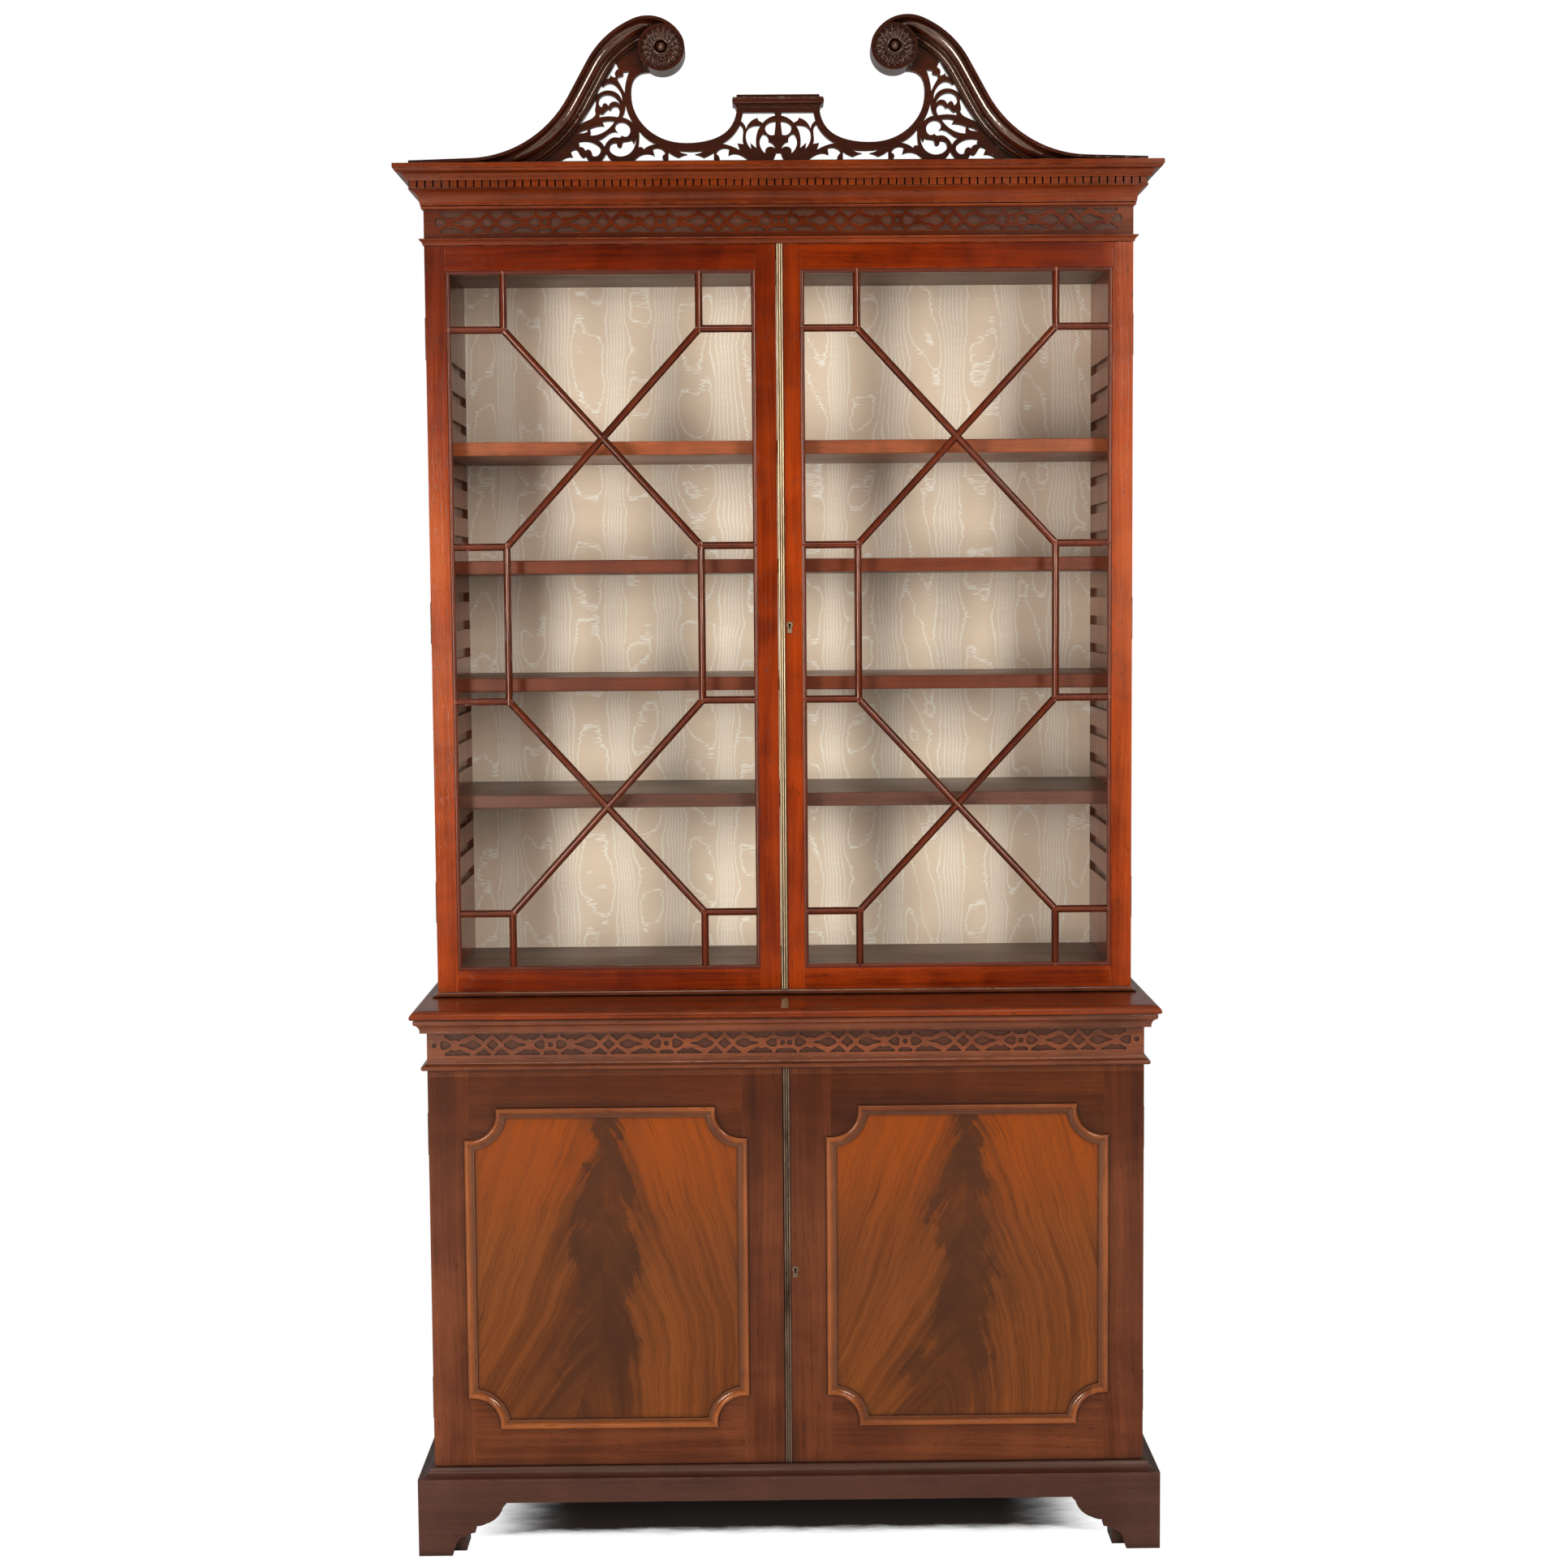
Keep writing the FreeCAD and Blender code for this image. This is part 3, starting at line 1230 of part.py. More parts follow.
def rod_hole(x, y, low):
    return Part.makeCylinder(rod_hole_radius, rod_hole_depth, vector(x, y, low))


def rod_set(split, face, end, up):
    # A barrel bolt on the back of the left door's meeting stile: plate with guides, and the rod.
    x = -split - rod_inset
    back = face + door_thickness
    y = back + rod_out
    tip = end - up * rod_end_gap
    tail = tip - up * rod_length
    low, high = min(tip, tail), max(tip, tail)
    pieces = [box(x - rod_plate_width / 2, x + rod_plate_width / 2, back, back + rod_plate_thickness,
                  low + rod_throw + overrun, high - rod_throw - overrun)]
    for share in rod_guide_shares:
        centre = low + rod_length * share
        pieces.append(box(x - rod_guide_width / 2, x + rod_guide_width / 2, back,
                          y + rod_radius + rod_guide_wall,
                          centre - rod_guide_length / 2, centre + rod_guide_length / 2))
    drill = Part.makeCylinder(rod_radius + rod_running_gap, rod_length + 2 * overrun,
                              vector(x, y, low - overrun))
    plate = joined(pieces).cut(drill)
    rod = Part.makeCylinder(rod_radius, rod_length, vector(x, y, low))
    knob_height = (low + high) / 2
    knob = Part.makeCylinder(rod_knob_radius, rod_knob_length + rod_radius, vector(x, y, knob_height),
                             along_y)
    return plate, joined([rod, knob])


# Doors

def sash_members(left, right, bottom, top, face, left_stile, right_stile):
    # Stiles run the full height. The small moulding round the glass is mitred at the corners.
    edge = sticking_width
    back = face + door_thickness
    rebate_front = face + glass_front

    def section(outer, inner, toward, place):
        # From the outer edge to the sight edge, with the moulded front corner and the glass rebate.
        flat = inner - toward * edge
        rebate = inner - toward * glass_rebate_width
        strokes = chain((outer, face), [
            (flat, face), (flat + toward * edge * 0.15, face + sticking_depth * 0.25),
            (inner - toward * edge * 0.25, face + sticking_depth * 0.35, inner, face + sticking_depth),
            (inner, rebate_front), (rebate, rebate_front), (rebate, back), (outer, back)])
        return Part.Face(ring(strokes, place))

    sight_left, sight_right = left + left_stile, right - right_stile
    sight_bottom, sight_top = bottom + upper_bottom_rail, top - upper_top_rail
    flat_left, flat_right = sight_left - edge, sight_right + edge
    flat_bottom, flat_top = sight_bottom - edge, sight_top + edge
    tall = along_z * (top - bottom)
    plan = lambda across, deep: vector(across, deep, bottom)
    left_bar = section(left, sight_left, 1, plan).extrude(tall)
    left_bar = left_bar.common(prism_front(
        [(left, bottom), (flat_left, bottom), (flat_left, flat_bottom), (sight_left, sight_bottom),
         (sight_left, sight_top), (flat_left, flat_top), (flat_left, top), (left, top)], face, back))
    right_bar = section(right, sight_right, -1, plan).extrude(tall)
    right_bar = right_bar.common(prism_front(
        [(right, bottom), (flat_right, bottom), (flat_right, flat_bottom), (sight_right, sight_bottom),
         (sight_right, sight_top), (flat_right, flat_top), (flat_right, top), (right, top)], face, back))
    wide = along_x * (right - left)
    end = lambda up, deep: vector(left, deep, up)
    low_bar = section(bottom, sight_bottom, 1, end).extrude(wide)
    low_bar = low_bar.common(prism_front(
        [(flat_left, bottom), (flat_right, bottom), (flat_right, flat_bottom),
         (sight_right, sight_bottom), (sight_left, sight_bottom), (flat_left, flat_bottom)], face, back))
    high_bar = section(top, sight_top, -1, end).extrude(wide)
    high_bar = high_bar.common(prism_front(
        [(flat_left, top), (flat_right, top), (flat_right, flat_top),
         (sight_right, sight_top), (sight_left, sight_top), (flat_left, flat_top)], face, back))
    return [left_bar, right_bar, low_bar, high_bar]


def bar_lines(sight_left, sight_right, sight_bottom, sight_top):
    # Centre lines of the glazing bars: short bars off each side, and two crosses between them.
    near, far = sight_left + bar_inset_side, sight_right - bar_inset_side
    low, high = sight_bottom + bar_inset_end, sight_top - bar_inset_end
    centre = (sight_bottom + sight_top) / 2
    below, above = centre - bar_middle_half, centre + bar_middle_half
    lines = []
    for across in (near, far):
        lines += [((across, sight_bottom), (across, low)), ((across, below), (across, above)),
                  ((across, high), (across, sight_top))]
    for up in (low, below, above, high):
        lines += [((sight_left, up), (near, up)), ((far, up), (sight_right, up))]
    for start, end in ((low, below), (above, high)):
        lines += [((near, start), (far, end)), ((near, end), (far, start))]
    return lines


def bar_along(line, strokes, face, before, after):
    # A bar's section is (across, back from the door's face), swept along its centre line and on past
    # its two ends.
    (x_start, z_start), (x_end, z_end) = line
    length = math.hypot(x_end - x_start, z_end - z_start)
    run = vector((x_end - x_start) / length, 0, (z_end - z_start) / length)
    across_way = vector(-run.z, 0, run.x)
    start = vector(x_start, 0, z_start) - run * before
    place = lambda across, deep: start + across_way * across + along_y * (face + deep)
    return Part.Face(ring(strokes, place)).extrude(run * (before + length + after))


def bar_section():
    half = bar_width / 2
    bead = bar_bead_width / 2
    tongue = bar_tongue / 2
    base = glass_front - bar_fillet
    return chain((-half, glass_front), [
        (-half, base), (-bead, base), (0, bar_front, bead, base), (half, base), (half, glass_front),
        (tongue, glass_front), (tongue, glass_front + bar_tongue_depth),
        (-tongue, glass_front + bar_tongue_depth), (-tongue, glass_front)])


def tongue_section():
    half = bar_tongue / 2 + glass_play
    deep = glass_front + glass_thickness + overrun
    return chain((-half, 0), [(half, 0), (half, deep), (-half, deep)])


def end_reach(line, point, sides):
    # Past its end, a level or upright bar runs on over the frame's moulding, or to the far side of
    # the bar that it meets. A slanted one ends at the meeting point.
    if line[0][0] != line[1][0] and line[0][1] != line[1][1]:
        return 0
    return sticking_width if point[0] in sides or point[1] in sides else bar_width / 2


def glazing(left, right, bottom, top, face, members):
    # The bars of one door, scribed to its frame, and the panes between them.
    lines = bar_lines(left, right, bottom, top)
    reaches = [[end_reach(line, point, (left, right, bottom, top)) for point in line] for line in lines]
    lengths = [bar_along(line, bar_section(), face, *reach) for line, reach in zip(lines, reaches)]
    # Rounded bars that cross at a slant join surely only when they are added in turn.
    bars = lengths[0]
    for length in lengths[1:]:
        bars = bars.fuse(length)
    bars = bars.cut(joined(members))
    window = box(left - sticking_width, right + sticking_width, face, face + door_thickness,
                 bottom - sticking_width, top + sticking_width)
    bars = bars.common(window).removeSplitter()
    reach = glass_rebate_width - glass_play
    pane = box(left - reach, right + reach, face + glass_front, face + glass_front + glass_thickness,
               bottom - reach, top + reach)
    # Each slot runs a little past the bar's tongue, so that the panes part there.
    slots = []
    for line, (before, after) in zip(lines, reaches):
        slots.append(bar_along(line, tongue_section(), face, before and before + glass_play,
                               after and after + glass_play))
    panes = pane.cut(slots[0].multiFuse(slots[1:]))
    return bars, panes


def reeded_strip(split, face, bottom, top):
    # A brass strip of three reeds over the meeting of the doors.
    half = reed_count * reed_width / 2
    steps = [(-half, -reed_base)]
    for number in range(reed_count):
        start = -half + number * reed_width
        steps.append((start + reed_width / 2, -reed_height, start + reed_width, -reed_base))
    steps.append((half, 0))
    place = lambda across, deep: vector(across, face + deep, bottom)
    strip = Part.Face(ring(chain((-half, 0), steps), place)).extrude(along_z * (top - bottom))
    keep = box(-split, half + overrun, face - reed_height - overrun, face, bottom, top)
    return strip.common(keep)


def make_upper_doors():
    face = upper_face_y
    bottom, top = upper_door_bottom, upper_door_top
    sight_bottom, sight_top = bottom + upper_bottom_rail, top - upper_top_rail
    stile = upper_stile_width
    axis_y = face + door_thickness + door_gap / 2
    split = -upper_split

    left, right = -upper_half, split - meeting_gap
    members = sash_members(left, right, bottom, top, face, stile, stile)
    members = [member.cut(strike_cut(split, face, upper_lock_height)) for member in members]
    for height in upper_hinge_heights():
        members = [member.cut(mirrored(hinge_door_cut(upper_half, axis_y, height))) for member in members]
    write("upper_left_frame", members)
    bars, panes = glazing(left + stile, right - stile, sight_bottom, sight_top, face, members)
    write("upper_left_bars", bars)
    write("upper_left_glass", panes)

    high_plate, high_rod = rod_set(upper_split, face, case_ceiling, 1)
    low_plate, low_rod = rod_set(upper_split, face, case_floor, -1)
    leaves = door_leaves(upper_half, face, upper_hinge_heights(), True)
    write("upper_left_brasses", leaves + [high_plate, low_plate])
    write("upper_left_top_bolt", high_rod)
    write("upper_left_bottom_bolt", low_rod)

    left, right = split, upper_half
    meeting = stile + upper_split
    members = sash_members(left, right, bottom, top, face, meeting, stile)
    cuts = [lock_box(split, face, upper_lock_height, pocket_play),
            bolt_box(split, face, upper_lock_height, lock_bolt_play, split - overrun, split + overrun),
            key_cut(split + key_backset, face - overrun, upper_lock_height, door_thickness, 0)]
    cuts += [hinge_door_cut(upper_half, axis_y, height) for height in upper_hinge_heights()]
    for cut in cuts:
        members = [member.cut(cut) for member in members]
    write("upper_right_frame", members)
    bars, panes = glazing(left + meeting, right - stile, sight_bottom, sight_top, face, members)
    write("upper_right_bars", bars)
    write("upper_right_glass", panes)
    write("upper_astragal", reeded_strip(upper_split, face, bottom, top))
    leaves = door_leaves(upper_half, face, upper_hinge_heights(), False)
    write("upper_right_brasses", leaves + [lock_case(split, face, upper_lock_height),
                                           escutcheon(split, face, upper_lock_height)])
    write("upper_lock_bolt", lock_bolt(split, face, upper_lock_height))


# Lower doors: a flat frame and panel with a moulding planted over their meeting

def notched_outline(left, right, bottom, top, radius):
    # A rectangle whose corners are scooped out by quarter circles about them.
    dip = radius * math.cos(math.pi / 4)
    return [
        [(left + radius, top), (right - radius, top)],
        [(right - radius, top), (right - dip, top - dip), (right, top - radius)],
        [(right, top - radius), (right, bottom + radius)],
        [(right, bottom + radius), (right - dip, bottom + dip), (right - radius, bottom)],
        [(right - radius, bottom), (left + radius, bottom)],
        [(left + radius, bottom), (left + dip, bottom + dip), (left, bottom + radius)],
        [(left, bottom + radius), (left, top - radius)],
        [(left, top - radius), (left + dip, top - dip), (left + radius, top)],
    ]


def panel_frame(left, right, bottom, top, face, seam):
    # Two stiles the full height and two rails between them, cut to the panel's outline.
    back = face + door_thickness
    opening = Part.Face(ring(notched_outline(*seam, panel_corner_radius), on_front(face - overrun)))
    opening = opening.extrude(along_y * (door_thickness + 2 * overrun))
    seam_left, seam_right, seam_bottom, seam_top = seam
    rail = box(seam_left, seam_right, face, back, bottom, seam_bottom + panel_corner_radius)
    top_rail = box(seam_left, seam_right, face, back, seam_top - panel_corner_radius, top)
    return [box(left, seam_left, face, back, bottom, top), box(seam_right, right, face, back, bottom, top),
            rail.cut(opening), top_rail.cut(opening)]


def panel_moulding(seam, face):
    # Eight mitred lengths: four straight and four scooped, with the high side outward.
    left, right, bottom, top = seam
    radius = panel_corner_radius
    half = panel_moulding_width / 2
    rise = panel_moulding_width * 0.42
    section = chain((-half, 0), [(-half, rise * 0.3), (-half * 0.5, rise, 0, rise * 0.7),
                                 (half * 0.4, rise * 0.45, half * 0.85, rise * 0.4),
                                 (half, rise * 0.4), (half, 0)])
    # The section's across runs from the outer side to the inner one.
    lengths = []

    def straight(place, run, corners):
        length = Part.Face(ring(section, place)).extrude(run)
        lengths.append(length.common(prism_front(corners, face - overrun - rise, face)))

    wide = right - left
    tall = top - bottom
    straight(lambda across, out: vector(left, face - out, top - across), along_x * wide,
             [(left + radius - half, top + half), (right - radius + half, top + half),
              (right - radius - half, top - half), (left + radius + half, top - half)])
    straight(lambda across, out: vector(left, face - out, bottom + across), along_x * wide,
             [(left + radius - half, bottom - half), (right - radius + half, bottom - half),
              (right - radius - half, bottom + half), (left + radius + half, bottom + half)])
    straight(lambda across, out: vector(left + across, face - out, bottom), along_z * tall,
             [(left - half, bottom + radius - half), (left - half, top - radius + half),
              (left + half, top - radius - half), (left + half, bottom + radius + half)])
    straight(lambda across, out: vector(right - across, face - out, bottom), along_z * tall,
             [(right + half, bottom + radius - half), (right + half, top - radius + half),
              (right - half, top - radius - half), (right - half, bottom + radius + half)])
    for corner_x, toward_x in ((left, 1), (right, -1)):
        for corner_z, toward_z in ((bottom, 1), (top, -1)):
            place = lambda across, out: vector(corner_x + toward_x * (radius + across), face - out, corner_z)
            start = Part.Face(ring(section, place))
            sense = -toward_x * toward_z
            extra = math.degrees(half / radius) * 2
            start = start.rotate(vector(corner_x, face, corner_z), along_y, -sense * extra)
            scoop = start.revolve(vector(corner_x, face, corner_z), along_y, sense * (90 + 2 * extra))
            points = [(radius + half, half), (radius - half, -half), (-half, radius - half),
                      (half, radius + half), (radius + half, radius + half)]
            corners = [(corner_x + toward_x * across, corner_z + toward_z * up) for across, up in points]
            lengths.append(scoop.common(prism_front(corners, face - overrun - rise, face)))
    return lengths


def make_lower_doors():
    face = base_face_y
    bottom, top = lower_door_bottom, lower_door_top
    axis_y = face + door_thickness + door_gap / 2
    split = -lower_split
    # The panel meets its frame under the middle of the moulding.
    half_moulding = panel_moulding_width / 2
    seam_low = bottom + panel_bottom_margin + half_moulding
    seam_high = top - panel_top_margin - half_moulding
    seam_near = panel_middle_margin + half_moulding
    seam_far = base_half - panel_side_margin - half_moulding
    right_seam = (seam_near, seam_far, seam_low, seam_high)
    left_seam = (-seam_far, -seam_near, seam_low, seam_high)

    def panel(seam):
        left, right, low, high = seam
        play = panel_play
        outline = notched_outline(left + play, right - play, low + play, high - play,
                                  panel_corner_radius + play)
        return Part.Face(ring(outline, on_front(face))).extrude(along_y * panel_thickness)

    left, right = -base_half, split - meeting_gap
    members = panel_frame(left, right, bottom, top, face, left_seam)
    members = [member.cut(strike_cut(split, face, lower_lock_height)) for member in members]
    for height in lower_hinge_heights():
        members = [member.cut(mirrored(hinge_door_cut(base_half, axis_y, height))) for member in members]
    write("lower_left_frame", members)
    write("lower_left_panel", panel(left_seam))
    write("lower_left_moulding", panel_moulding(left_seam, face))
    high_plate, high_rod = rod_set(lower_split, face, lower_door_top - base_board_thickness, 1)
    low_plate, low_rod = rod_set(lower_split, face, plinth_top + base_board_thickness, -1)
    leaves = door_leaves(base_half, face, lower_hinge_heights(), True)
    write("lower_left_brasses", leaves + [high_plate, low_plate])
    write("lower_left_top_bolt", high_rod)
    write("lower_left_bottom_bolt", low_rod)

    left, right = split, base_half
    members = panel_frame(left, right, bottom, top, face, right_seam)
    cuts = [lock_box(split, face, lower_lock_height, pocket_play),
            bolt_box(split, face, lower_lock_height, lock_bolt_play, split - overrun, split + overrun),
            key_cut(split + key_backset, face - overrun, lower_lock_height, door_thickness, 0)]
    cuts += [hinge_door_cut(base_half, axis_y, height) for height in lower_hinge_heights()]
    for cut in cuts:
        members = [member.cut(cut) for member in members]
    write("lower_right_frame", members)
    write("lower_right_panel", panel(right_seam))
    write("lower_right_moulding", panel_moulding(right_seam, face))
    write("lower_astragal", reeded_strip(lower_split, face, bottom, top))
    leaves = door_leaves(base_half, face, lower_hinge_heights(), False)
    write("lower_right_brasses", leaves + [lock_case(split, face, lower_lock_height),
                                           escutcheon(split, face, lower_lock_height)])
    write("lower_lock_bolt", lock_bolt(split, face, lower_lock_height))


make_skirts()
make_foot_blocks()
make_plinth_moulding()
make_base_case()
make_base_frieze()
make_fret("base_fret", base_half, base_face_y, base_frieze_bottom, base_frieze_height,
          base_fret_bottom_strip, base_fret_field)
make_base_top()
make_upper_case()
make_shelves()
make_waist_moulding()
make_upper_frieze()
make_fret("upper_fret", upper_half, upper_face_y, upper_frieze_bottom, upper_frieze_height,
          upper_fret_bottom_strip, upper_fret_field)
make_cornice()
make_dentils()
make_pediment_board()
make_swan_necks()
make_rosettes()
make_pediment_cap()
make_case_hinges()
make_upper_doors()
make_lower_doors()
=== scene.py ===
import math

import bmesh
import bpy
import numpy as np
from mathutils import Matrix, Vector


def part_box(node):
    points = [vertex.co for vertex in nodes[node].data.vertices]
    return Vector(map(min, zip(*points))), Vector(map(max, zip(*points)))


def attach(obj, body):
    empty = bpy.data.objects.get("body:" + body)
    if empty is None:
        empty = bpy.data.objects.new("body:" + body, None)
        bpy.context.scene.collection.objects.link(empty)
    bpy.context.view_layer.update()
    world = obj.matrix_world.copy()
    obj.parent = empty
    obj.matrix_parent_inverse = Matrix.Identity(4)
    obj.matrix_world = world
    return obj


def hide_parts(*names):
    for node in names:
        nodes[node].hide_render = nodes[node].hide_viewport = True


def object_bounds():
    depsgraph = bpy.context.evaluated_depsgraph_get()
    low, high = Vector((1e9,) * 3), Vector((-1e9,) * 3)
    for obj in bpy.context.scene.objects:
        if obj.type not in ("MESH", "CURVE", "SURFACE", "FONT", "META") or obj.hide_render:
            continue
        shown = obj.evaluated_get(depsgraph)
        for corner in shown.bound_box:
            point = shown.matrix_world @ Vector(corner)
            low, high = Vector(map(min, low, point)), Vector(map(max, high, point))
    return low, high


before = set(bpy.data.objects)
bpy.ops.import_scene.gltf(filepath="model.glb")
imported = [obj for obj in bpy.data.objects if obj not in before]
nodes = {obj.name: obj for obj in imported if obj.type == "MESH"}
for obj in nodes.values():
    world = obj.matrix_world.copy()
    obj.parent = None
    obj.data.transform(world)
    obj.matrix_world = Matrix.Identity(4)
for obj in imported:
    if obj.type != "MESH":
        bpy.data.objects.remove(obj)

# A glazed mahogany bookcase on a two-door cabinet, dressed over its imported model.
# Metres throughout. The front faces -Y.
# In the tables below, a noise is (scale, detail, roughness, distortion), of which the last ones may be left
# out. A stretch multiplies X, Y and Z before the noise, so a small number draws the pattern out that way.
# A range is (from low, from high) or (from low, from high, to low, to high), and is eased at both ends.

cadBox = [list(corner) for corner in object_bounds()]
still = (0.0, 0.0, 0.0)


def log(text):
    print("stage:", text)


# Small steps for building node trees

def newGroup(name, inputs, outputs):
    group = bpy.data.node_groups.new(name, "ShaderNodeTree")
    for label, kind, value in inputs:
        socket = group.interface.new_socket(label, in_out="INPUT", socket_type=kind)
        if value is not None:
            socket.default_value = value
    for label in outputs:
        group.interface.new_socket(label, in_out="OUTPUT", socket_type="NodeSocketFloat")
    entry = group.nodes.new("NodeGroupInput")
    leave = group.nodes.new("NodeGroupOutput")
    return group, entry, leave


def newMaterial(name):
    paint = bpy.data.materials.new(name)
    paint.use_nodes = True
    return paint, paint.node_tree, paint.node_tree.nodes["Principled BSDF"]


def mathNode(tree, operation, first, second=None, clamp=False):
    node = tree.nodes.new("ShaderNodeMath")
    node.operation = operation
    node.use_clamp = clamp
    for socket, value in zip(node.inputs, (first, second)):
        if isinstance(value, (int, float)):
            socket.default_value = value
        elif value is not None:
            tree.links.new(value, socket)
    return node.outputs[0]


def plus(tree, first, second, clamp=False):
    return mathNode(tree, "ADD", first, second, clamp)


def minus(tree, first, second, clamp=False):
    return mathNode(tree, "SUBTRACT", first, second, clamp)


def times(tree, first, second, clamp=False):
    return mathNode(tree, "MULTIPLY", first, second, clamp)


def highest(tree, first, second):
    return mathNode(tree, "MAXIMUM", first, second)


def absolute(tree, value):
    return mathNode(tree, "ABSOLUTE", value)


def between(tree, value, low, high):
    above = mathNode(tree, "GREATER_THAN", value, low)
    under = mathNode(tree, "LESS_THAN", value, high)
    return times(tree, above, under)


def vectorMath(tree, operation, first, second):
    node = tree.nodes.new("ShaderNodeVectorMath")
    node.operation = operation
    for socket, value in zip(node.inputs, (first, second)):
        if isinstance(value, (tuple, list)):
            socket.default_value = value
        else:
            tree.links.new(value, socket)
    return node


def scaled(tree, vector, factors):
    return vectorMath(tree, "MULTIPLY", vector, factors).outputs[0]


def moved(tree, vector, offset):
    return vectorMath(tree, "ADD", vector, offset).outputs[0]


def separated(tree, vector):
    node = tree.nodes.new("ShaderNodeSeparateXYZ")
    tree.links.new(vector, node.inputs[0])
    return node.outputs["X"], node.outputs["Y"], node.outputs["Z"]


def objectPlace(tree):
    return tree.nodes.new("ShaderNodeTexCoord").outputs["Object"]


def noiseNode(tree, vector, scale, detail=2.0, rough=0.5, distortion=0.0):
    node = tree.nodes.new("ShaderNodeTexNoise")
    tree.links.new(vector, node.inputs["Vector"])
    node.inputs["Scale"].default_value = scale
    node.inputs["Detail"].default_value = detail
    node.inputs["Roughness"].default_value = rough
    node.inputs["Distortion"].default_value = distortion
    return node


def noise(tree, vector, *settings):
    return noiseNode(tree, vector, *settings).outputs["Fac"]


def pattern(tree, vector, part):
    return noise(tree, scaled(tree, vector, part["stretch"]), *part["noise"])


def stretched(tree, value, low, high, newLow=0.0, newHigh=1.0):
    node = tree.nodes.new("ShaderNodeMapRange")
    node.interpolation_type = "SMOOTHSTEP"
    tree.links.new(value, node.inputs["Value"])
    node.inputs["From Min"].default_value = low
    node.inputs["From Max"].default_value = high
    node.inputs["To Min"].default_value = newLow
    node.inputs["To Max"].default_value = newHigh
    return node.outputs[0]


def swung(tree, value, reach):
    # A value from 0 to 1 turned into a shift of up to half of reach either way.
    return times(tree, minus(tree, value, 0.5), reach)


def mixColour(tree, share, first, second, blend="MIX"):
    node = tree.nodes.new("ShaderNodeMix")
    node.data_type = "RGBA"
    node.blend_type = blend
    sockets = [s for s in node.inputs if s.type == "RGBA"]
    tree.links.new(share, node.inputs[0])
    for socket, value in zip(sockets, (first, second)):
        if isinstance(value, (tuple, list)):
            socket.default_value = (*value, 1)
        else:
            tree.links.new(value, socket)
    return [s for s in node.outputs if s.type == "RGBA"][0]


def mixVector(tree, share, first, second):
    node = tree.nodes.new("ShaderNodeMix")
    node.data_type = "VECTOR"
    tree.links.new(share, node.inputs[0])
    sockets = [s for s in node.inputs if s.type == "VECTOR" and s.name in ("A", "B")]
    tree.links.new(first, sockets[0])
    tree.links.new(second, sockets[1])
    return [s for s in node.outputs if s.type == "VECTOR"][0]


def mixShader(tree, share, first, second, end):
    mix = tree.nodes.new("ShaderNodeMixShader")
    for socket, value in zip(mix.inputs, (share, first, second)):
        tree.links.new(value, socket)
    tree.links.new(mix.outputs[0], end.inputs["Surface"])


def addRelief(tree, shader, height, strength, deep):
    bump = tree.nodes.new("ShaderNodeBump")
    bump.inputs["Strength"].default_value = strength
    bump.inputs["Distance"].default_value = deep
    tree.links.new(height, bump.inputs["Height"])
    tree.links.new(bump.outputs[0], shader.inputs["Normal"])


# Camera and stage

camera = {
    "place": (-0.0343, -4.2005, 1.5884),
    "pitchDown": 0.0779,
    "rollRight": 0.0077,
    "yawRight": 0.00868,
    "lens": 55.86,
    "sensorWidth": 36.0,
    "farthest": 60.0,
}
stage = {
    "halfWidth": 9.0,
    "front": -7.0,
    "back": 6.0,
    "curve": 3.0,
    "curvePoints": 25,
    "wallHeight": 9.0,
    "colour": (0.88, 0.86, 0.85),
    "roughness": 0.85,
    "backdropLight": 1.0,
    # A painted shadow under the object fades between these distances from its sides and from its front and back.
    "paintedShadowColour": (0.026, 0.016, 0.012),
    "sideShadow": (-0.30, -0.09),
    "sideShadowPower": 3.0,
    "frontShadow": (-0.118, -0.076),
    "shadowHeight": 0.01,
    "crease": {"noise": (14.0, 4.0, 0.65), "stretch": (1.0, 2.5, 1.0)},
    "creaseReach": 0.03,
    "sideCreases": 2.0,
}
lamps = {
    "worldTint": (1.0, 0.99, 0.975),
    "world": 0.10,
    "overhead": 0.30,
    "overheadFrom": 0.15,
    "overheadTo": 0.9,
    "key": {"place": (-2.15, -4.3, 1.5), "aim": (0.0, 0.0, 1.2), "size": (0.8, 1.8), "watts": 142.0},
    "fill": {"place": (2.2, -4.3, 2.3), "aim": (0.0, 0.0, 1.3), "size": (0.8, 1.8), "watts": 122.0},
    "top": {"place": (0.0, -2.7, 4.7), "aim": (0.0, 0.0, 1.3), "size": (2.4, 0.6), "watts": 45.0},
}


def makeCamera():
    data = bpy.data.cameras.new("photoCamera")
    data.lens = camera["lens"]
    data.sensor_width = camera["sensorWidth"]
    data.clip_end = camera["farthest"]
    eye = bpy.data.objects.new("photoCamera", data)
    bpy.context.scene.collection.objects.link(eye)
    yaw, pitch, roll = camera["yawRight"], camera["pitchDown"], camera["rollRight"]
    forward = Vector((math.sin(yaw) * math.cos(pitch), math.cos(yaw) * math.cos(pitch), -math.sin(pitch)))
    level = Vector((math.cos(yaw), -math.sin(yaw), 0.0))
    upward = level.cross(forward)
    right = level * math.cos(roll) - upward * math.sin(roll)
    top = level * math.sin(roll) + upward * math.cos(roll)
    turn = Matrix((right, top, -forward)).transposed().to_4x4()
    eye.matrix_world = Matrix.Translation(camera["place"]) @ turn
    bpy.context.scene.camera = eye


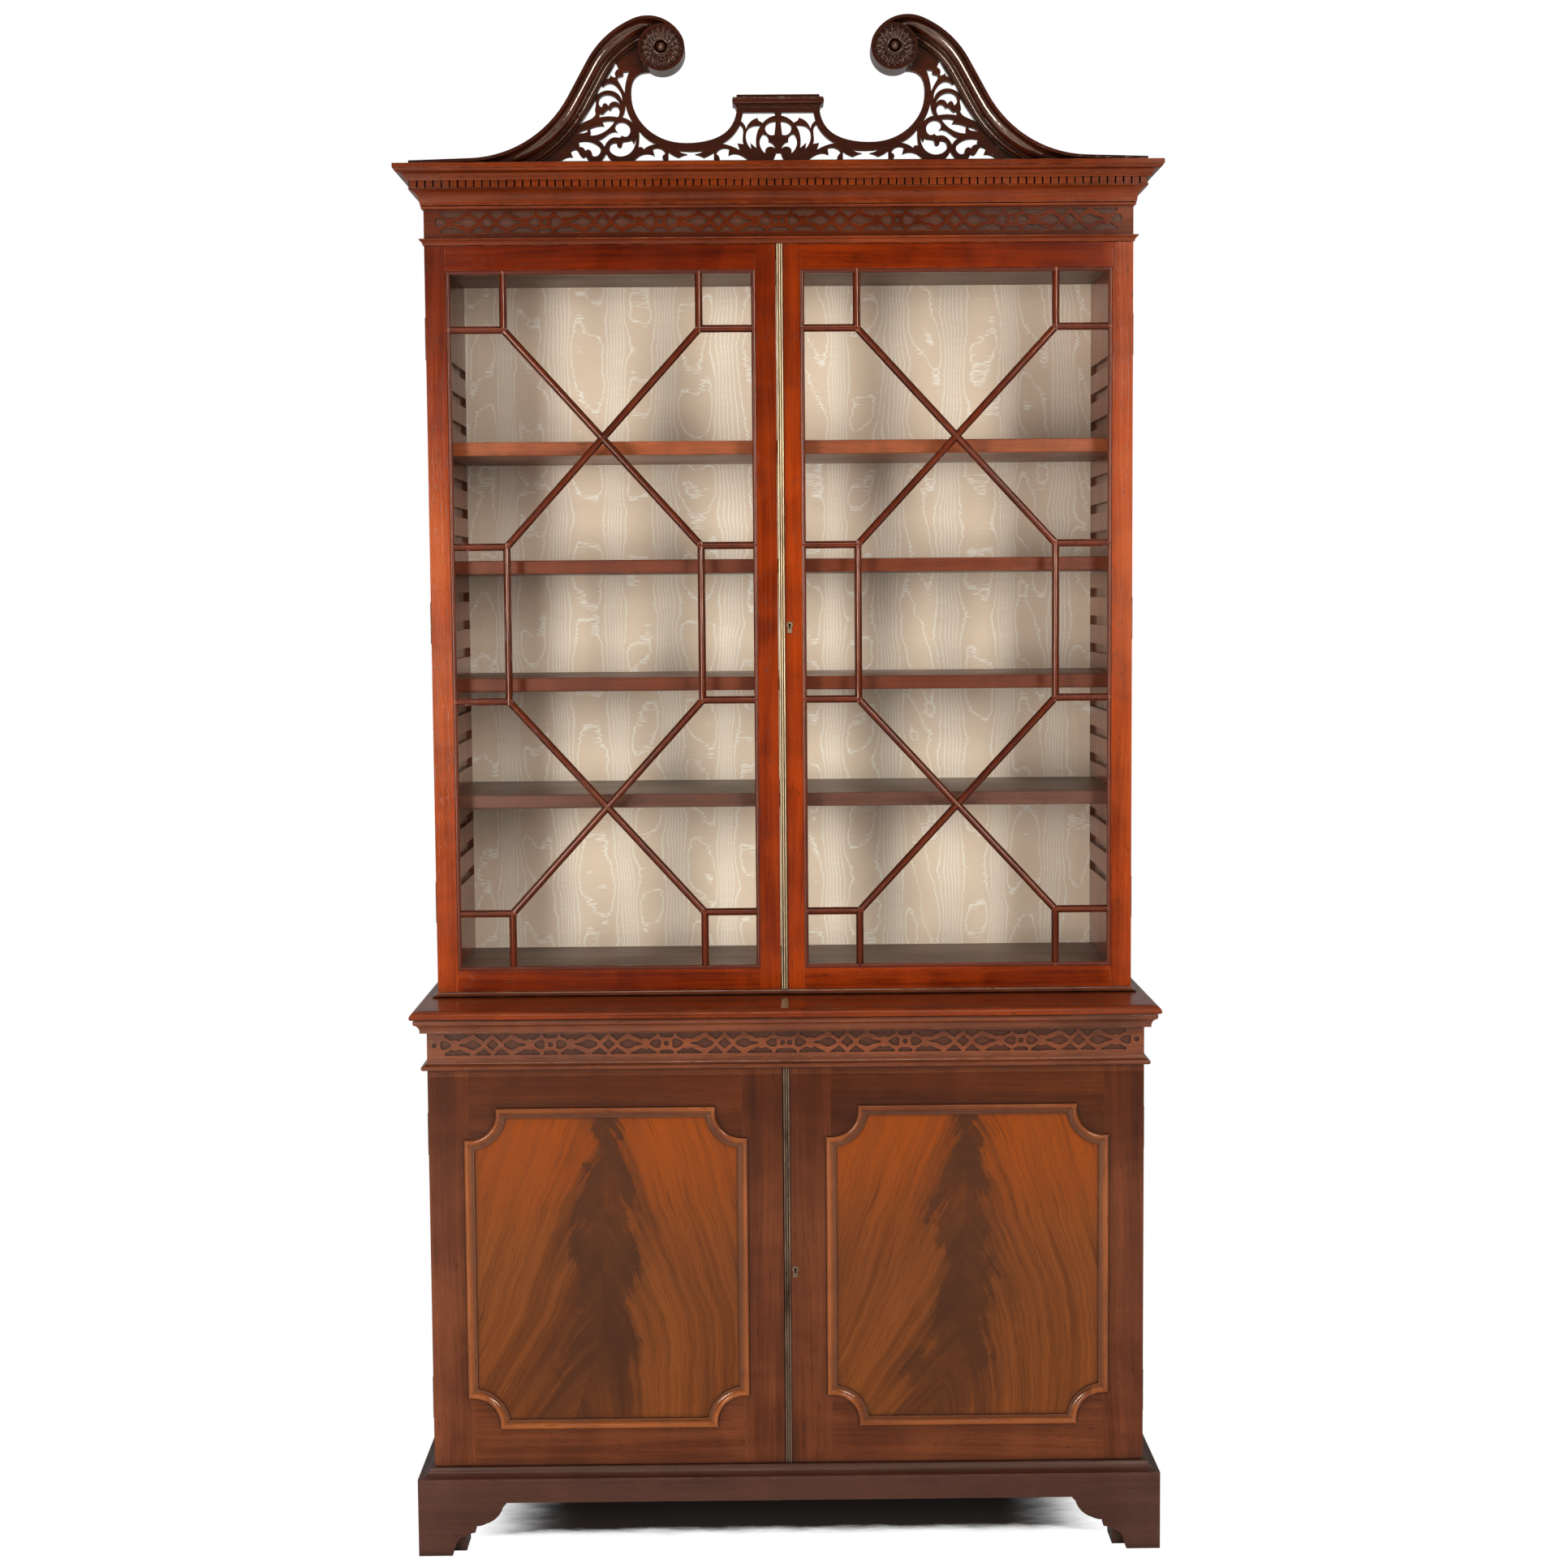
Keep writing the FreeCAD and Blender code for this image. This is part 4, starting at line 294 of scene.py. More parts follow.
def makeLamp(name):
    part = lamps[name]
    data = bpy.data.lights.new(name + "Lamp", "AREA")
    data.shape = "RECTANGLE"
    data.size, data.size_y = part["size"]
    data.energy = part["watts"]
    lamp = bpy.data.objects.new(name + "Lamp", data)
    bpy.context.scene.collection.objects.link(lamp)
    place = Vector(part["place"])
    aim = Vector(part["aim"]) - place
    lamp.matrix_world = Matrix.Translation(place) @ aim.to_track_quat("-Z", "Y").to_matrix().to_4x4()


def sweepMaterial():
    paint, tree, shader = newMaterial("studioWhite")
    shader.inputs["Roughness"].default_value = stage["roughness"]
    # It glows plain white where a camera looks at it, also through a pane, and lights nothing itself.
    path = tree.nodes.new("ShaderNodeLightPath")
    seen = highest(tree, path.outputs["Is Camera Ray"], path.outputs["Is Transmission Ray"])
    glow = tree.nodes.new("ShaderNodeEmission")
    glow.inputs["Color"].default_value = (1, 1, 1, 1)
    glow.inputs["Strength"].default_value = stage["backdropLight"]
    # A painted shadow darkens the floor's colour under the object, and a noise like creases in the floor sheet
    # breaks its edge.
    place = objectPlace(tree)
    x, y, z = separated(tree, place)
    beside = minus(tree, absolute(tree, x), cadBox[1][0])
    before = minus(tree, absolute(tree, y), cadBox[1][1])
    crease = swung(tree, pattern(tree, place, stage["crease"]), stage["creaseReach"])
    broad = times(tree, crease, stage["sideCreases"])
    aside = stretched(tree, plus(tree, beside, broad), *stage["sideShadow"])
    away = highest(tree, mathNode(tree, "POWER", aside, stage["sideShadowPower"]),
                   stretched(tree, plus(tree, before, crease), *stage["frontShadow"]))
    fade = highest(tree, away, mathNode(tree, "GREATER_THAN", z, stage["shadowHeight"]))
    tree.links.new(mixColour(tree, fade, stage["paintedShadowColour"], stage["colour"]), shader.inputs["Base Color"])
    mixShader(tree, times(tree, seen, fade), shader.outputs[0], glow.outputs[0], tree.nodes["Material Output"])
    return paint


def makeSweep():
    # The floor runs back into a wall along a quarter circle.
    turn = np.linspace(0, math.pi / 2, stage["curvePoints"])
    end = stage["back"] + stage["curve"]
    across = [stage["front"], *(stage["back"] + stage["curve"] * np.sin(turn)), end]
    up = [0.0, *(stage["curve"] * (1 - np.cos(turn))), stage["wallHeight"]]
    points = [(side * stage["halfWidth"], y, z) for y, z in zip(across, up) for side in (-1, 1)]
    faces = [(i, i + 1, i + 3, i + 2) for i in range(0, len(points) - 2, 2)]
    sweep = meshPiece("studioSweep", points, faces, sweepMaterial())


def makeWorld():
    world = bpy.data.worlds.new("studioWorld")
    bpy.context.scene.world = world
    world.use_nodes = True
    tree = world.node_tree
    soft = tree.nodes["Background"]
    soft.inputs["Color"].default_value = (*lamps["worldTint"], 1)
    # The room is dim around the object and brighter overhead. A camera sees plain white instead.
    height = separated(tree, tree.nodes.new("ShaderNodeTexCoord").outputs["Generated"])[2]
    room = stretched(tree, height, lamps["overheadFrom"], lamps["overheadTo"], lamps["world"],
                     lamps["overhead"])
    tree.links.new(room, soft.inputs["Strength"])
    bright = tree.nodes.new("ShaderNodeBackground")
    bright.inputs["Color"].default_value = (1, 1, 1, 1)
    bright.inputs["Strength"].default_value = 1.0
    seen = tree.nodes.new("ShaderNodeLightPath").outputs["Is Camera Ray"]
    mixShader(tree, seen, soft.outputs[0], bright.outputs[0], tree.nodes["World Output"])


# Node groups shared by the woods, some of them also by the veneer and the brass

grainLook = {
    "sway": {"noise": (2.2, 1.0), "stretch": (1.0, 1.0, 0.8)},
    "swayReach": (0.03, 0.03, 0.0),
    "Band": {"noise": (26.0, 3.0, 0.55), "stretch": (1.0, 1.0, 0.05), "range": (0.32, 0.68)},
    "Streak": {"noise": (190.0, 3.0, 0.6), "stretch": (1.0, 1.0, 0.018), "range": (0.3, 0.7)},
    "Pore": {"noise": (900.0, 1.0, 0.5), "stretch": (1.0, 1.0, 0.055), "range": (0.62, 0.74)},
    "Ribbon": {"noise": (11.0, 2.0, 0.55, 0.6), "stretch": (0.7, 0.7, 1.0), "range": (0.3, 0.7)},
}
polishLook = {
    "cloud": {"noise": (4.5, 2.0, 0.5), "stretch": (1.0, 1.0, 1.0), "range": (0.22, 0.78)},
    "scuff": {"noise": (75.0, 2.0, 0.6), "stretch": (1.0, 1.0, 2.5), "range": (0.66, 0.8)},
}
edgeLook = {"samples": 4, "radius": 0.0016, "bend": (0.02, 0.2), "patch": (38.0, 3.0, 0.6),
            "range": (0.4, 0.65)}
# Distances from the middle and heights in metres. The shares spared keep the painted shade at the tops weaker on
# the right than on the left.
sheenAndShadeLook = {
    "ends": (0.53, 0.575),
    "left": (1.66, 1.92, 1.0, 0.15), "right": (2.1, 2.3, 1.0, 0.3), "foot": (0.92, 1.5, 0.2, 1.0),
    "patch": {"noise": (5.5, 3.0), "stretch": (0.3, 0.3, 1.0), "range": (0.3, 0.6, 0.45, 1.0)},
    "lowerShade": (0.5, 0.8), "upperShade": (1.7, 2.13), "waist": 0.8,
    "rightSpared": 0.3, "rightEndSpared": 0.6,
}
# Painted shade in corners and hollows: how far it reaches, and how dark it gets from occlusion and patches.
hollowShadeLook = {"samples": 4, "reach": 0.014, "hidden": (0.5, 0.98, 1.0, 0.0), "patch": (24.0, 2.0),
           "range": (0.2, 0.6, 0.7, 1.0)}


def makeGrainGroup():
    # Grain runs along Z. Broad bands, finer streaks and short dark pores come from noise that is drawn out
    # along it, and the ribbon from short bands that lie across it.
    group, entry, leave = newGroup("mahoganyGrain", [("Vector", "NodeSocketVector", None)],
                                   ["Band", "Streak", "Pore", "Ribbon"])
    vector = entry.outputs["Vector"]
    sway = noiseNode(group, scaled(group, vector, grainLook["sway"]["stretch"]), *grainLook["sway"]["noise"])
    swayed = moved(group, vector, scaled(group, sway.outputs["Color"], grainLook["swayReach"]))
    for name, place in (("Band", swayed), ("Streak", swayed), ("Pore", swayed), ("Ribbon", vector)):
        part = grainLook[name]
        group.links.new(stretched(group, pattern(group, place, part), *part["range"]), leave.inputs[name])
    return group


def makePolishGroup():
    # Old polish: cloudy patches and faint level rubbing marks, both rougher than the rest.
    group, entry, leave = newGroup("oldPolish", [
        ("Vector", "NodeSocketVector", None), ("Low", "NodeSocketFloat", 0.2), ("High", "NodeSocketFloat", 0.35),
    ], ["Roughness", "Cloud"])
    cloud, marks = [stretched(group, pattern(group, entry.outputs["Vector"], polishLook[name]),
                              *polishLook[name]["range"]) for name in ("cloud", "scuff")]
    span = minus(group, entry.outputs["High"], entry.outputs["Low"])
    rough = plus(group, entry.outputs["Low"], times(group, highest(group, cloud, marks), span))
    group.links.new(rough, leave.inputs["Roughness"])
    group.links.new(cloud, leave.inputs["Cloud"])
    return group


def makeEdgeGroup():
    # How far a face's rounded normal leaves its flat one, which picks out edges and corners.
    group, entry, leave = newGroup("handledEdges", [("Vector", "NodeSocketVector", None)], ["Edge"])
    bevel = group.nodes.new("ShaderNodeBevel")
    bevel.samples = edgeLook["samples"]
    bevel.inputs["Radius"].default_value = edgeLook["radius"]
    plain = group.nodes.new("ShaderNodeNewGeometry").outputs["Normal"]
    bend = minus(group, 1.0, vectorMath(group, "DOT_PRODUCT", bevel.outputs[0], plain).outputs["Value"], True)
    patch = noise(group, entry.outputs["Vector"], *edgeLook["patch"])
    rubbed = stretched(group, patch, *edgeLook["range"])
    group.links.new(times(group, stretched(group, bend, *edgeLook["bend"]), rubbed), leave.inputs["Edge"])
    return group


def makeFadedGroup():
    # A painted sheen lightens the outer ends: its share is 1 far from the middle, at the heights given for each
    # side.
    # The second share is a painted shade: it is 1 towards the tops of the lower and the upper doors, which it
    # darkens to a deeper red, and less so on the right.
    group, entry, leave = newGroup("paintedEndSheenTopShade", [("Vector", "NodeSocketVector", None)], ["Faded", "TopShadeShare"])
    x, y, z = separated(group, entry.outputs["Vector"])
    side = stretched(group, absolute(group, x), *sheenAndShadeLook["ends"])
    left = stretched(group, z, *sheenAndShadeLook["left"])
    right = stretched(group, z, *sheenAndShadeLook["right"])
    isRight = mathNode(group, "GREATER_THAN", x, 0.0)
    upper = plus(group, times(group, isRight, right), times(group, minus(group, 1.0, isRight), left))
    lower = stretched(group, z, *sheenAndShadeLook["foot"])
    patch = pattern(group, entry.outputs["Vector"], sheenAndShadeLook["patch"])
    broken = stretched(group, patch, *sheenAndShadeLook["patch"]["range"])
    share = times(group, times(group, side, upper), times(group, lower, broken))
    group.links.new(share, leave.inputs["Faded"])
    lowerTop = times(group, stretched(group, z, *sheenAndShadeLook["lowerShade"]),
                     mathNode(group, "LESS_THAN", z, sheenAndShadeLook["waist"]))
    spared = plus(group, times(group, side, sheenAndShadeLook["rightEndSpared"]), sheenAndShadeLook["rightSpared"])
    upperTop = times(group, stretched(group, z, *sheenAndShadeLook["upperShade"]),
                     minus(group, 1.0, times(group, isRight, spared)))
    group.links.new(highest(group, lowerTop, upperTop), leave.inputs["TopShadeShare"])
    return group


def makeWaxGroup():
    # Painted shade, darker where a corner or a carved hollow closes round the surface.
    group, entry, leave = newGroup("paintedHollowShade", [
        ("Vector", "NodeSocketVector", None), ("Reach", "NodeSocketFloat", hollowShadeLook["reach"]),
    ], ["Wax"])
    hidden = group.nodes.new("ShaderNodeAmbientOcclusion")
    hidden.samples = hollowShadeLook["samples"]
    group.links.new(entry.outputs["Reach"], hidden.inputs["Distance"])
    dark = stretched(group, hidden.outputs["AO"], *hollowShadeLook["hidden"])
    patch = stretched(group, noise(group, entry.outputs["Vector"], *hollowShadeLook["patch"]), *hollowShadeLook["range"])
    group.links.new(times(group, dark, patch, True), leave.inputs["Wax"])
    return group


groups = {}


def placed(tree, name, vector):
    node = tree.nodes.new("ShaderNodeGroup")
    node.node_tree = groups[name]
    tree.links.new(vector, node.inputs["Vector"])
    return node


def hollowShaded(tree, place, colour, shadeColour, share=1.0, reach=hollowShadeLook["reach"]):
    hollow = placed(tree, "paintedHollowShade", place)
    hollow.inputs["Reach"].default_value = reach
    return mixColour(tree, times(tree, hollow.outputs["Wax"], share), colour, shadeColour)


def polished(tree, shader, place, part):
    # Old polish between the part's low and high roughness. It gives back the clouds.
    finish = placed(tree, "oldPolish", place)
    finish.inputs["Low"].default_value = part["low"]
    finish.inputs["High"].default_value = part["high"]
    tree.links.new(finish.outputs["Roughness"], shader.inputs["Roughness"])
    shader.inputs["Specular IOR Level"].default_value = part["level"]
    shader.inputs["Specular Tint"].default_value = (*polish["tint"], 1)
    return finish.outputs["Cloud"]


# Woods

# light and deep are the wood's own two colours. pore is also the colour of the painted shade in hollows, wear
# that of rubbed edges, and the last colour that of the painted sheen on the outer ends. low and high bound the
# roughness, and level is the specular level. ribbon, cloud and the shares of painted shade in hollows and at the
# tops are from 0 to 1, and reach is how far the painted shade comes out of a corner.
woods = {
    "doorMahogany": {
        "light": (0.3312, 0.0391, 0.0028), "deep": (0.07875, 0.00595, 0.00056), "pore": (0.030, 0.005, 0.002),
        "wear": (0.50, 0.13, 0.035), "paintedSheen": (0.424, 0.088, 0.0229), "low": 0.15, "high": 0.25,
        "ribbon": 0.35, "hollowShade": 0.85, "cloud": 0.55, "level": 0.24, "topShade": 0.8, "reach": 0.018,
    },
    "baseMahogany": {
        "light": (0.166, 0.0431, 0.0133), "deep": (0.0559, 0.0125, 0.00378), "pore": (0.022, 0.007, 0.004),
        "wear": (0.26, 0.08, 0.03), "paintedSheen": (0.185, 0.060, 0.038), "low": 0.2, "high": 0.27,
        "ribbon": 0.3, "hollowShade": 0.85, "cloud": 0.55, "level": 0.2, "topShade": 0.75, "reach": 0.022,
    },
    "mouldingMahogany": {
        "light": (0.31, 0.085, 0.018), "deep": (0.13, 0.03, 0.007), "pore": (0.024, 0.007, 0.003),
        "wear": (0.55, 0.24, 0.10), "paintedSheen": (0.32, 0.11, 0.045), "low": 0.1, "high": 0.18,
        "ribbon": 0.3, "hollowShade": 1.0, "cloud": 0.35, "level": 0.45, "topShade": 0.3, "reach": 0.02,
    },
    "friezeMahogany": {
        "light": (0.249, 0.04, 0.00658), "deep": (0.08, 0.0104, 0.00188), "pore": (0.014, 0.004, 0.002),
        "wear": (0.42, 0.13, 0.045), "paintedSheen": (0.21, 0.052, 0.020), "low": 0.16, "high": 0.27,
        "ribbon": 0.3, "hollowShade": 1.0, "cloud": 0.4, "level": 0.27, "topShade": 0.35, "reach": 0.028,
    },
    "upperFretMahogany": {
        "light": (0.131, 0.0191, 0.00299), "deep": (0.042, 0.00497, 0.000855), "pore": (0.014, 0.004, 0.002),
        "wear": (0.42, 0.13, 0.045), "paintedSheen": (0.21, 0.052, 0.020), "low": 0.16, "high": 0.27,
        "ribbon": 0.3, "hollowShade": 1.0, "cloud": 0.4, "level": 0.27, "topShade": 0.35, "reach": 0.022,
    },
    "baseFriezeMahogany": {
        "light": (0.198, 0.0493, 0.0165), "deep": (0.0759, 0.0166, 0.00473), "pore": (0.016, 0.005, 0.003),
        "wear": (0.42, 0.15, 0.06), "paintedSheen": (0.22, 0.065, 0.028), "low": 0.17, "high": 0.27,
        "ribbon": 0.3, "hollowShade": 1.0, "cloud": 0.4, "level": 0.5, "topShade": 0.0, "reach": 0.022,
    },
    "barMahogany": {
        "light": (0.13, 0.019, 0.0045), "deep": (0.055, 0.0075, 0.0022), "pore": (0.016, 0.004, 0.002),
        "wear": (0.42, 0.14, 0.07), "paintedSheen": (0.14, 0.0255, 0.0098), "low": 0.08, "high": 0.15,
        "ribbon": 0.3, "hollowShade": 1.0, "cloud": 0.4, "level": 0.5, "topShade": 0.0, "reach": 0.014,
    },
    "groundMahogany": {
        "light": (0.0952, 0.0275, 0.0124), "deep": (0.0497, 0.0132, 0.00596), "pore": (0.011, 0.004, 0.003),
        "wear": (0.18, 0.08, 0.05), "paintedSheen": (0.13, 0.05, 0.032), "low": 0.34, "high": 0.5,
        "ribbon": 0.3, "hollowShade": 0.8, "cloud": 0.3, "level": 0.25, "topShade": 0.0, "reach": 0.014,
    },
    "plinthMahogany": {
        "light": (0.068, 0.0213, 0.0133), "deep": (0.0378, 0.01092, 0.00663), "pore": (0.010, 0.004, 0.003),
        "wear": (0.17, 0.07, 0.045), "paintedSheen": (0.115, 0.055, 0.042), "low": 0.29, "high": 0.42,
        "ribbon": 0.35, "hollowShade": 0.9, "cloud": 0.4, "level": 0.36, "topShade": 0.0, "reach": 0.014,
    },
    "pedimentMahogany": {
        "light": (0.060, 0.0110, 0.0035), "deep": (0.020, 0.0032, 0.0014), "pore": (0.006, 0.002, 0.001),
        "wear": (0.14, 0.035, 0.014), "paintedSheen": (0.060, 0.012, 0.0045), "low": 0.08, "high": 0.15,
        "ribbon": 0.2, "hollowShade": 0.9, "cloud": 0.3, "level": 0.9, "topShade": 0.0, "reach": 0.014,
    },
    "innerMahogany": {
        "light": (0.180, 0.094, 0.064), "deep": (0.095, 0.048, 0.034), "pore": (0.030, 0.016, 0.011),
        "wear": (0.22, 0.13, 0.09), "paintedSheen": (0.17, 0.09, 0.06), "low": 0.4, "high": 0.55,
        "ribbon": 0.25, "hollowShade": 0.6, "cloud": 0.4, "level": 0.25, "topShade": 0.0, "reach": 0.014,
    },
    "shelfMahogany": {
        "light": (0.333, 0.0833, 0.0248), "deep": (0.149, 0.0289, 0.00825), "pore": (0.03, 0.012, 0.007),
        "wear": (0.40, 0.16, 0.08), "paintedSheen": (0.30, 0.09, 0.04), "low": 0.29, "high": 0.45,
        "ribbon": 0.4, "hollowShade": 0.5, "cloud": 0.5, "level": 0.3, "topShade": 0.0, "reach": 0.014,
    },
    "midShelfMahogany": {
        "light": (0.167, 0.0333, 0.00992), "deep": (0.0745, 0.0116, 0.0033), "pore": (0.03, 0.012, 0.007),
        "wear": (0.40, 0.16, 0.08), "paintedSheen": (0.30, 0.09, 0.04), "low": 0.29, "high": 0.45,
        "ribbon": 0.4, "hollowShade": 0.5, "cloud": 0.5, "level": 0.3, "topShade": 0.0, "reach": 0.014,
    },
    "lowShelfMahogany": {
        "light": (0.14, 0.054, 0.0336), "deep": (0.0638, 0.0225, 0.0133), "pore": (0.03, 0.012, 0.007),
        "wear": (0.26, 0.13, 0.08), "paintedSheen": (0.16, 0.07, 0.045), "low": 0.3, "high": 0.45,
        "ribbon": 0.4, "hollowShade": 0.5, "cloud": 0.5, "level": 0.3, "topShade": 0.0, "reach": 0.014,
    },
    "carcassOak": {
        "light": (0.26, 0.165, 0.10), "deep": (0.17, 0.10, 0.06), "pore": (0.06, 0.035, 0.022),
        "wear": (0.32, 0.22, 0.14), "paintedSheen": (0.26, 0.17, 0.11), "low": 0.6, "high": 0.8,
        "ribbon": 0.2, "hollowShade": 0.5, "cloud": 0.3, "level": 0.2, "topShade": 0.0, "reach": 0.014,
    },
}
polish = {
    "tint": (1.0, 0.82, 0.68), "bandShare": 0.55, "streakShare": 0.30, "poreShare": 0.7, "wearShare": 0.6,
    "sheenLeast": 0.4, "sheenByGrain": 0.5, "shade": (0.50, 0.40, 0.36), "topShadeColour": (0.42, 0.28, 0.12),
    "sideShade": 0.8, "sightWidth": 0.0065, "sightShadeColour": (0.070, 0.020, 0.013), "sightShadeShare": 0.75,
    "relief": 0.0004, "reliefStrength": 0.18,
}
grainTurns = {"up": still, "across": (0.0, math.pi / 2, 0.0)}


def grainVector(tree, direction, shift=still):
    turn = tree.nodes.new("ShaderNodeMapping")
    turn.inputs["Rotation"].default_value = grainTurns[direction]
    turn.inputs["Location"].default_value = shift
    tree.links.new(objectPlace(tree), turn.inputs["Vector"])
    return turn.outputs[0]


def woodMaterial(name, wood, direction, shift=still, inner=None, sight=None, crest=None):
    # The grain runs in the direction given, and across from the first X of inner to the second. Sight is the
    # glass's (X from, X to, Z from, Z to), round which a painted shade darkens the frame, and crest the (front,
    # back) in Y between which a painted shade darkens a moulding's sides.
    part = woods[wood]
    paint, tree, shader = newMaterial(name)
    vector = grainVector(tree, direction, shift)
    place = objectPlace(tree)
    x, y, z = separated(tree, place)
    if inner:
        vector = mixVector(tree, between(tree, x, *inner), vector, grainVector(tree, "across", shift))
    grain = placed(tree, "mahoganyGrain", vector)
    figure = plus(tree, times(tree, grain.outputs["Band"], polish["bandShare"]),
                  times(tree, grain.outputs["Streak"], polish["streakShare"]))
    figure = plus(tree, figure, times(tree, grain.outputs["Ribbon"], part["ribbon"]), True)
    colour = mixColour(tree, figure, part["deep"], part["light"])
    endsAndTops = placed(tree, "paintedEndSheenTopShade", place)
    # Painted sheen: the outer ends take a paler colour, less where the grain is dark.
    takes = plus(tree, times(tree, figure, polish["sheenByGrain"]), polish["sheenLeast"])
    colour = mixColour(tree, times(tree, endsAndTops.outputs["Faded"], takes), colour, part["paintedSheen"])
    cloud = polished(tree, shader, place, part)
    colour = mixColour(tree, times(tree, cloud, part["cloud"]), colour, polish["shade"], "MULTIPLY")
    # Painted shade: the tops of the doors darken to a deeper red.
    colour = mixColour(tree, times(tree, endsAndTops.outputs["TopShadeShare"], part["topShade"]), colour, polish["topShadeColour"],
                       "MULTIPLY")
    colour = mixColour(tree, times(tree, grain.outputs["Pore"], polish["poreShare"]), colour, part["pore"])
    edges = placed(tree, "handledEdges", place)
    colour = mixColour(tree, times(tree, edges.outputs["Edge"], polish["wearShare"]), colour, part["wear"])
    # Painted shade in corners and hollows.
    colour = hollowShaded(tree, place, colour, part["pore"], part["hollowShade"], part["reach"])
    if sight:
        # Painted shade darkens the small moulding round the glass and its lip.
        wide = polish["sightWidth"]
        inside = times(tree, between(tree, x, sight[0] - wide, sight[1] + wide),
                       between(tree, z, sight[2] - wide, sight[3] + wide))
        colour = mixColour(tree, times(tree, inside, polish["sightShadeShare"]), colour, polish["sightShadeColour"])
    if crest:
        # Painted shade darkens the sides of a planted moulding towards the back, and its crest keeps its colour.
        behind = times(tree, stretched(tree, y, *crest), polish["sideShade"])
        colour = mixColour(tree, behind, colour, part["pore"])
    tree.links.new(colour, shader.inputs["Base Color"])
    height = minus(tree, grain.outputs["Streak"], grain.outputs["Pore"])
    addRelief(tree, shader, height, polish["reliefStrength"], polish["relief"])
    return paint


# Flame veneer of the lower doors

flame = {
    "light": (0.178, 0.047, 0.0085), "deep": (0.074, 0.0170, 0.0036), "plume": (0.044, 0.0130, 0.0040),
    "gold": (0.220, 0.039, 0.0010), "line": (0.040, 0.009, 0.0028), "pore": (0.030, 0.008, 0.003),
    "low": 0.18, "high": 0.27, "level": 0.22, "relief": 0.0003, "reliefStrength": 0.12,
    # The streaks. Their pattern changes slowly up the panel, and sideGap sets the two halves apart in it.
    "archRise": 4.6, "archPower": 1.35, "climb": 0.07, "sideGap": 0.7,
    "ruffle": (4.5, 1.0, 0.5), "ruffleReach": 0.07,
    "broad": {"noise": (9.0, 3.0, 0.6), "range": (0.28, 0.7), "share": 0.54},
    "medium": {"noise": (36.0, 3.0, 0.6), "range": (0.3, 0.7), "share": 0.26},
    "fine": {"noise": (210.0, 2.0, 0.6), "range": (0.35, 0.65), "share": 0.20},
    "hair": (130.0, 1.0), "hairRange": (0.6, 0.7, 0.0, 0.4),
    "crownRange": (0.45, 1.0), "crownLeast": 0.3, "poreShare": 0.4,
    # The plume's half width and its lean in metres, by the share of the panel's height.
    "halfWidths": ((0.0, 0.050), (0.08, 0.058), (0.2, 0.060), (0.32, 0.044), (0.5, 0.042), (0.62, 0.050),
                   (0.7, 0.044), (0.82, 0.030), (0.92, 0.014), (1.0, 0.008)),
    "leans": ((0.0, -0.060), (0.12, -0.040), (0.25, -0.018), (0.5, -0.008), (1.0, 0.0)),
    "widest": 0.1, "wander": {"noise": (9.0, 2.0), "stretch": (0.0, 0.0, 1.0)}, "wanderReach": 0.03,
    "barbs": (24.0, 4.0, 0.75), "tatter": (13.0, 4.0, 0.65), "raggedReach": 0.22,
    "plumeEdge": (-0.007, 0.007, 1.0, 0.0), "featherEdge": (0.0, 0.075, 0.75, 0.0), "featherMost": 1.1,
    "mottleRange": (0.25, 0.7, 0.95, 0.6), "footRange": (0.0, 0.3, 0.45, 1.0),
}


def followed(tree, value, points, reach):
    # A value that follows the points (share, amount). The amounts lie between -reach and reach.
    node = tree.nodes.new("ShaderNodeFloatCurve")
    line = node.mapping.curves[0]
    places = [(share, 0.5 + amount / reach / 2) for share, amount in points]
    line.points[0].location = places[0]
    line.points[1].location = places[-1]
    for place in places[1:-1]:
        line.points.new(*place)
    node.mapping.update()
    tree.links.new(value, node.inputs["Value"])
    return swung(tree, node.outputs[0], 2 * reach)


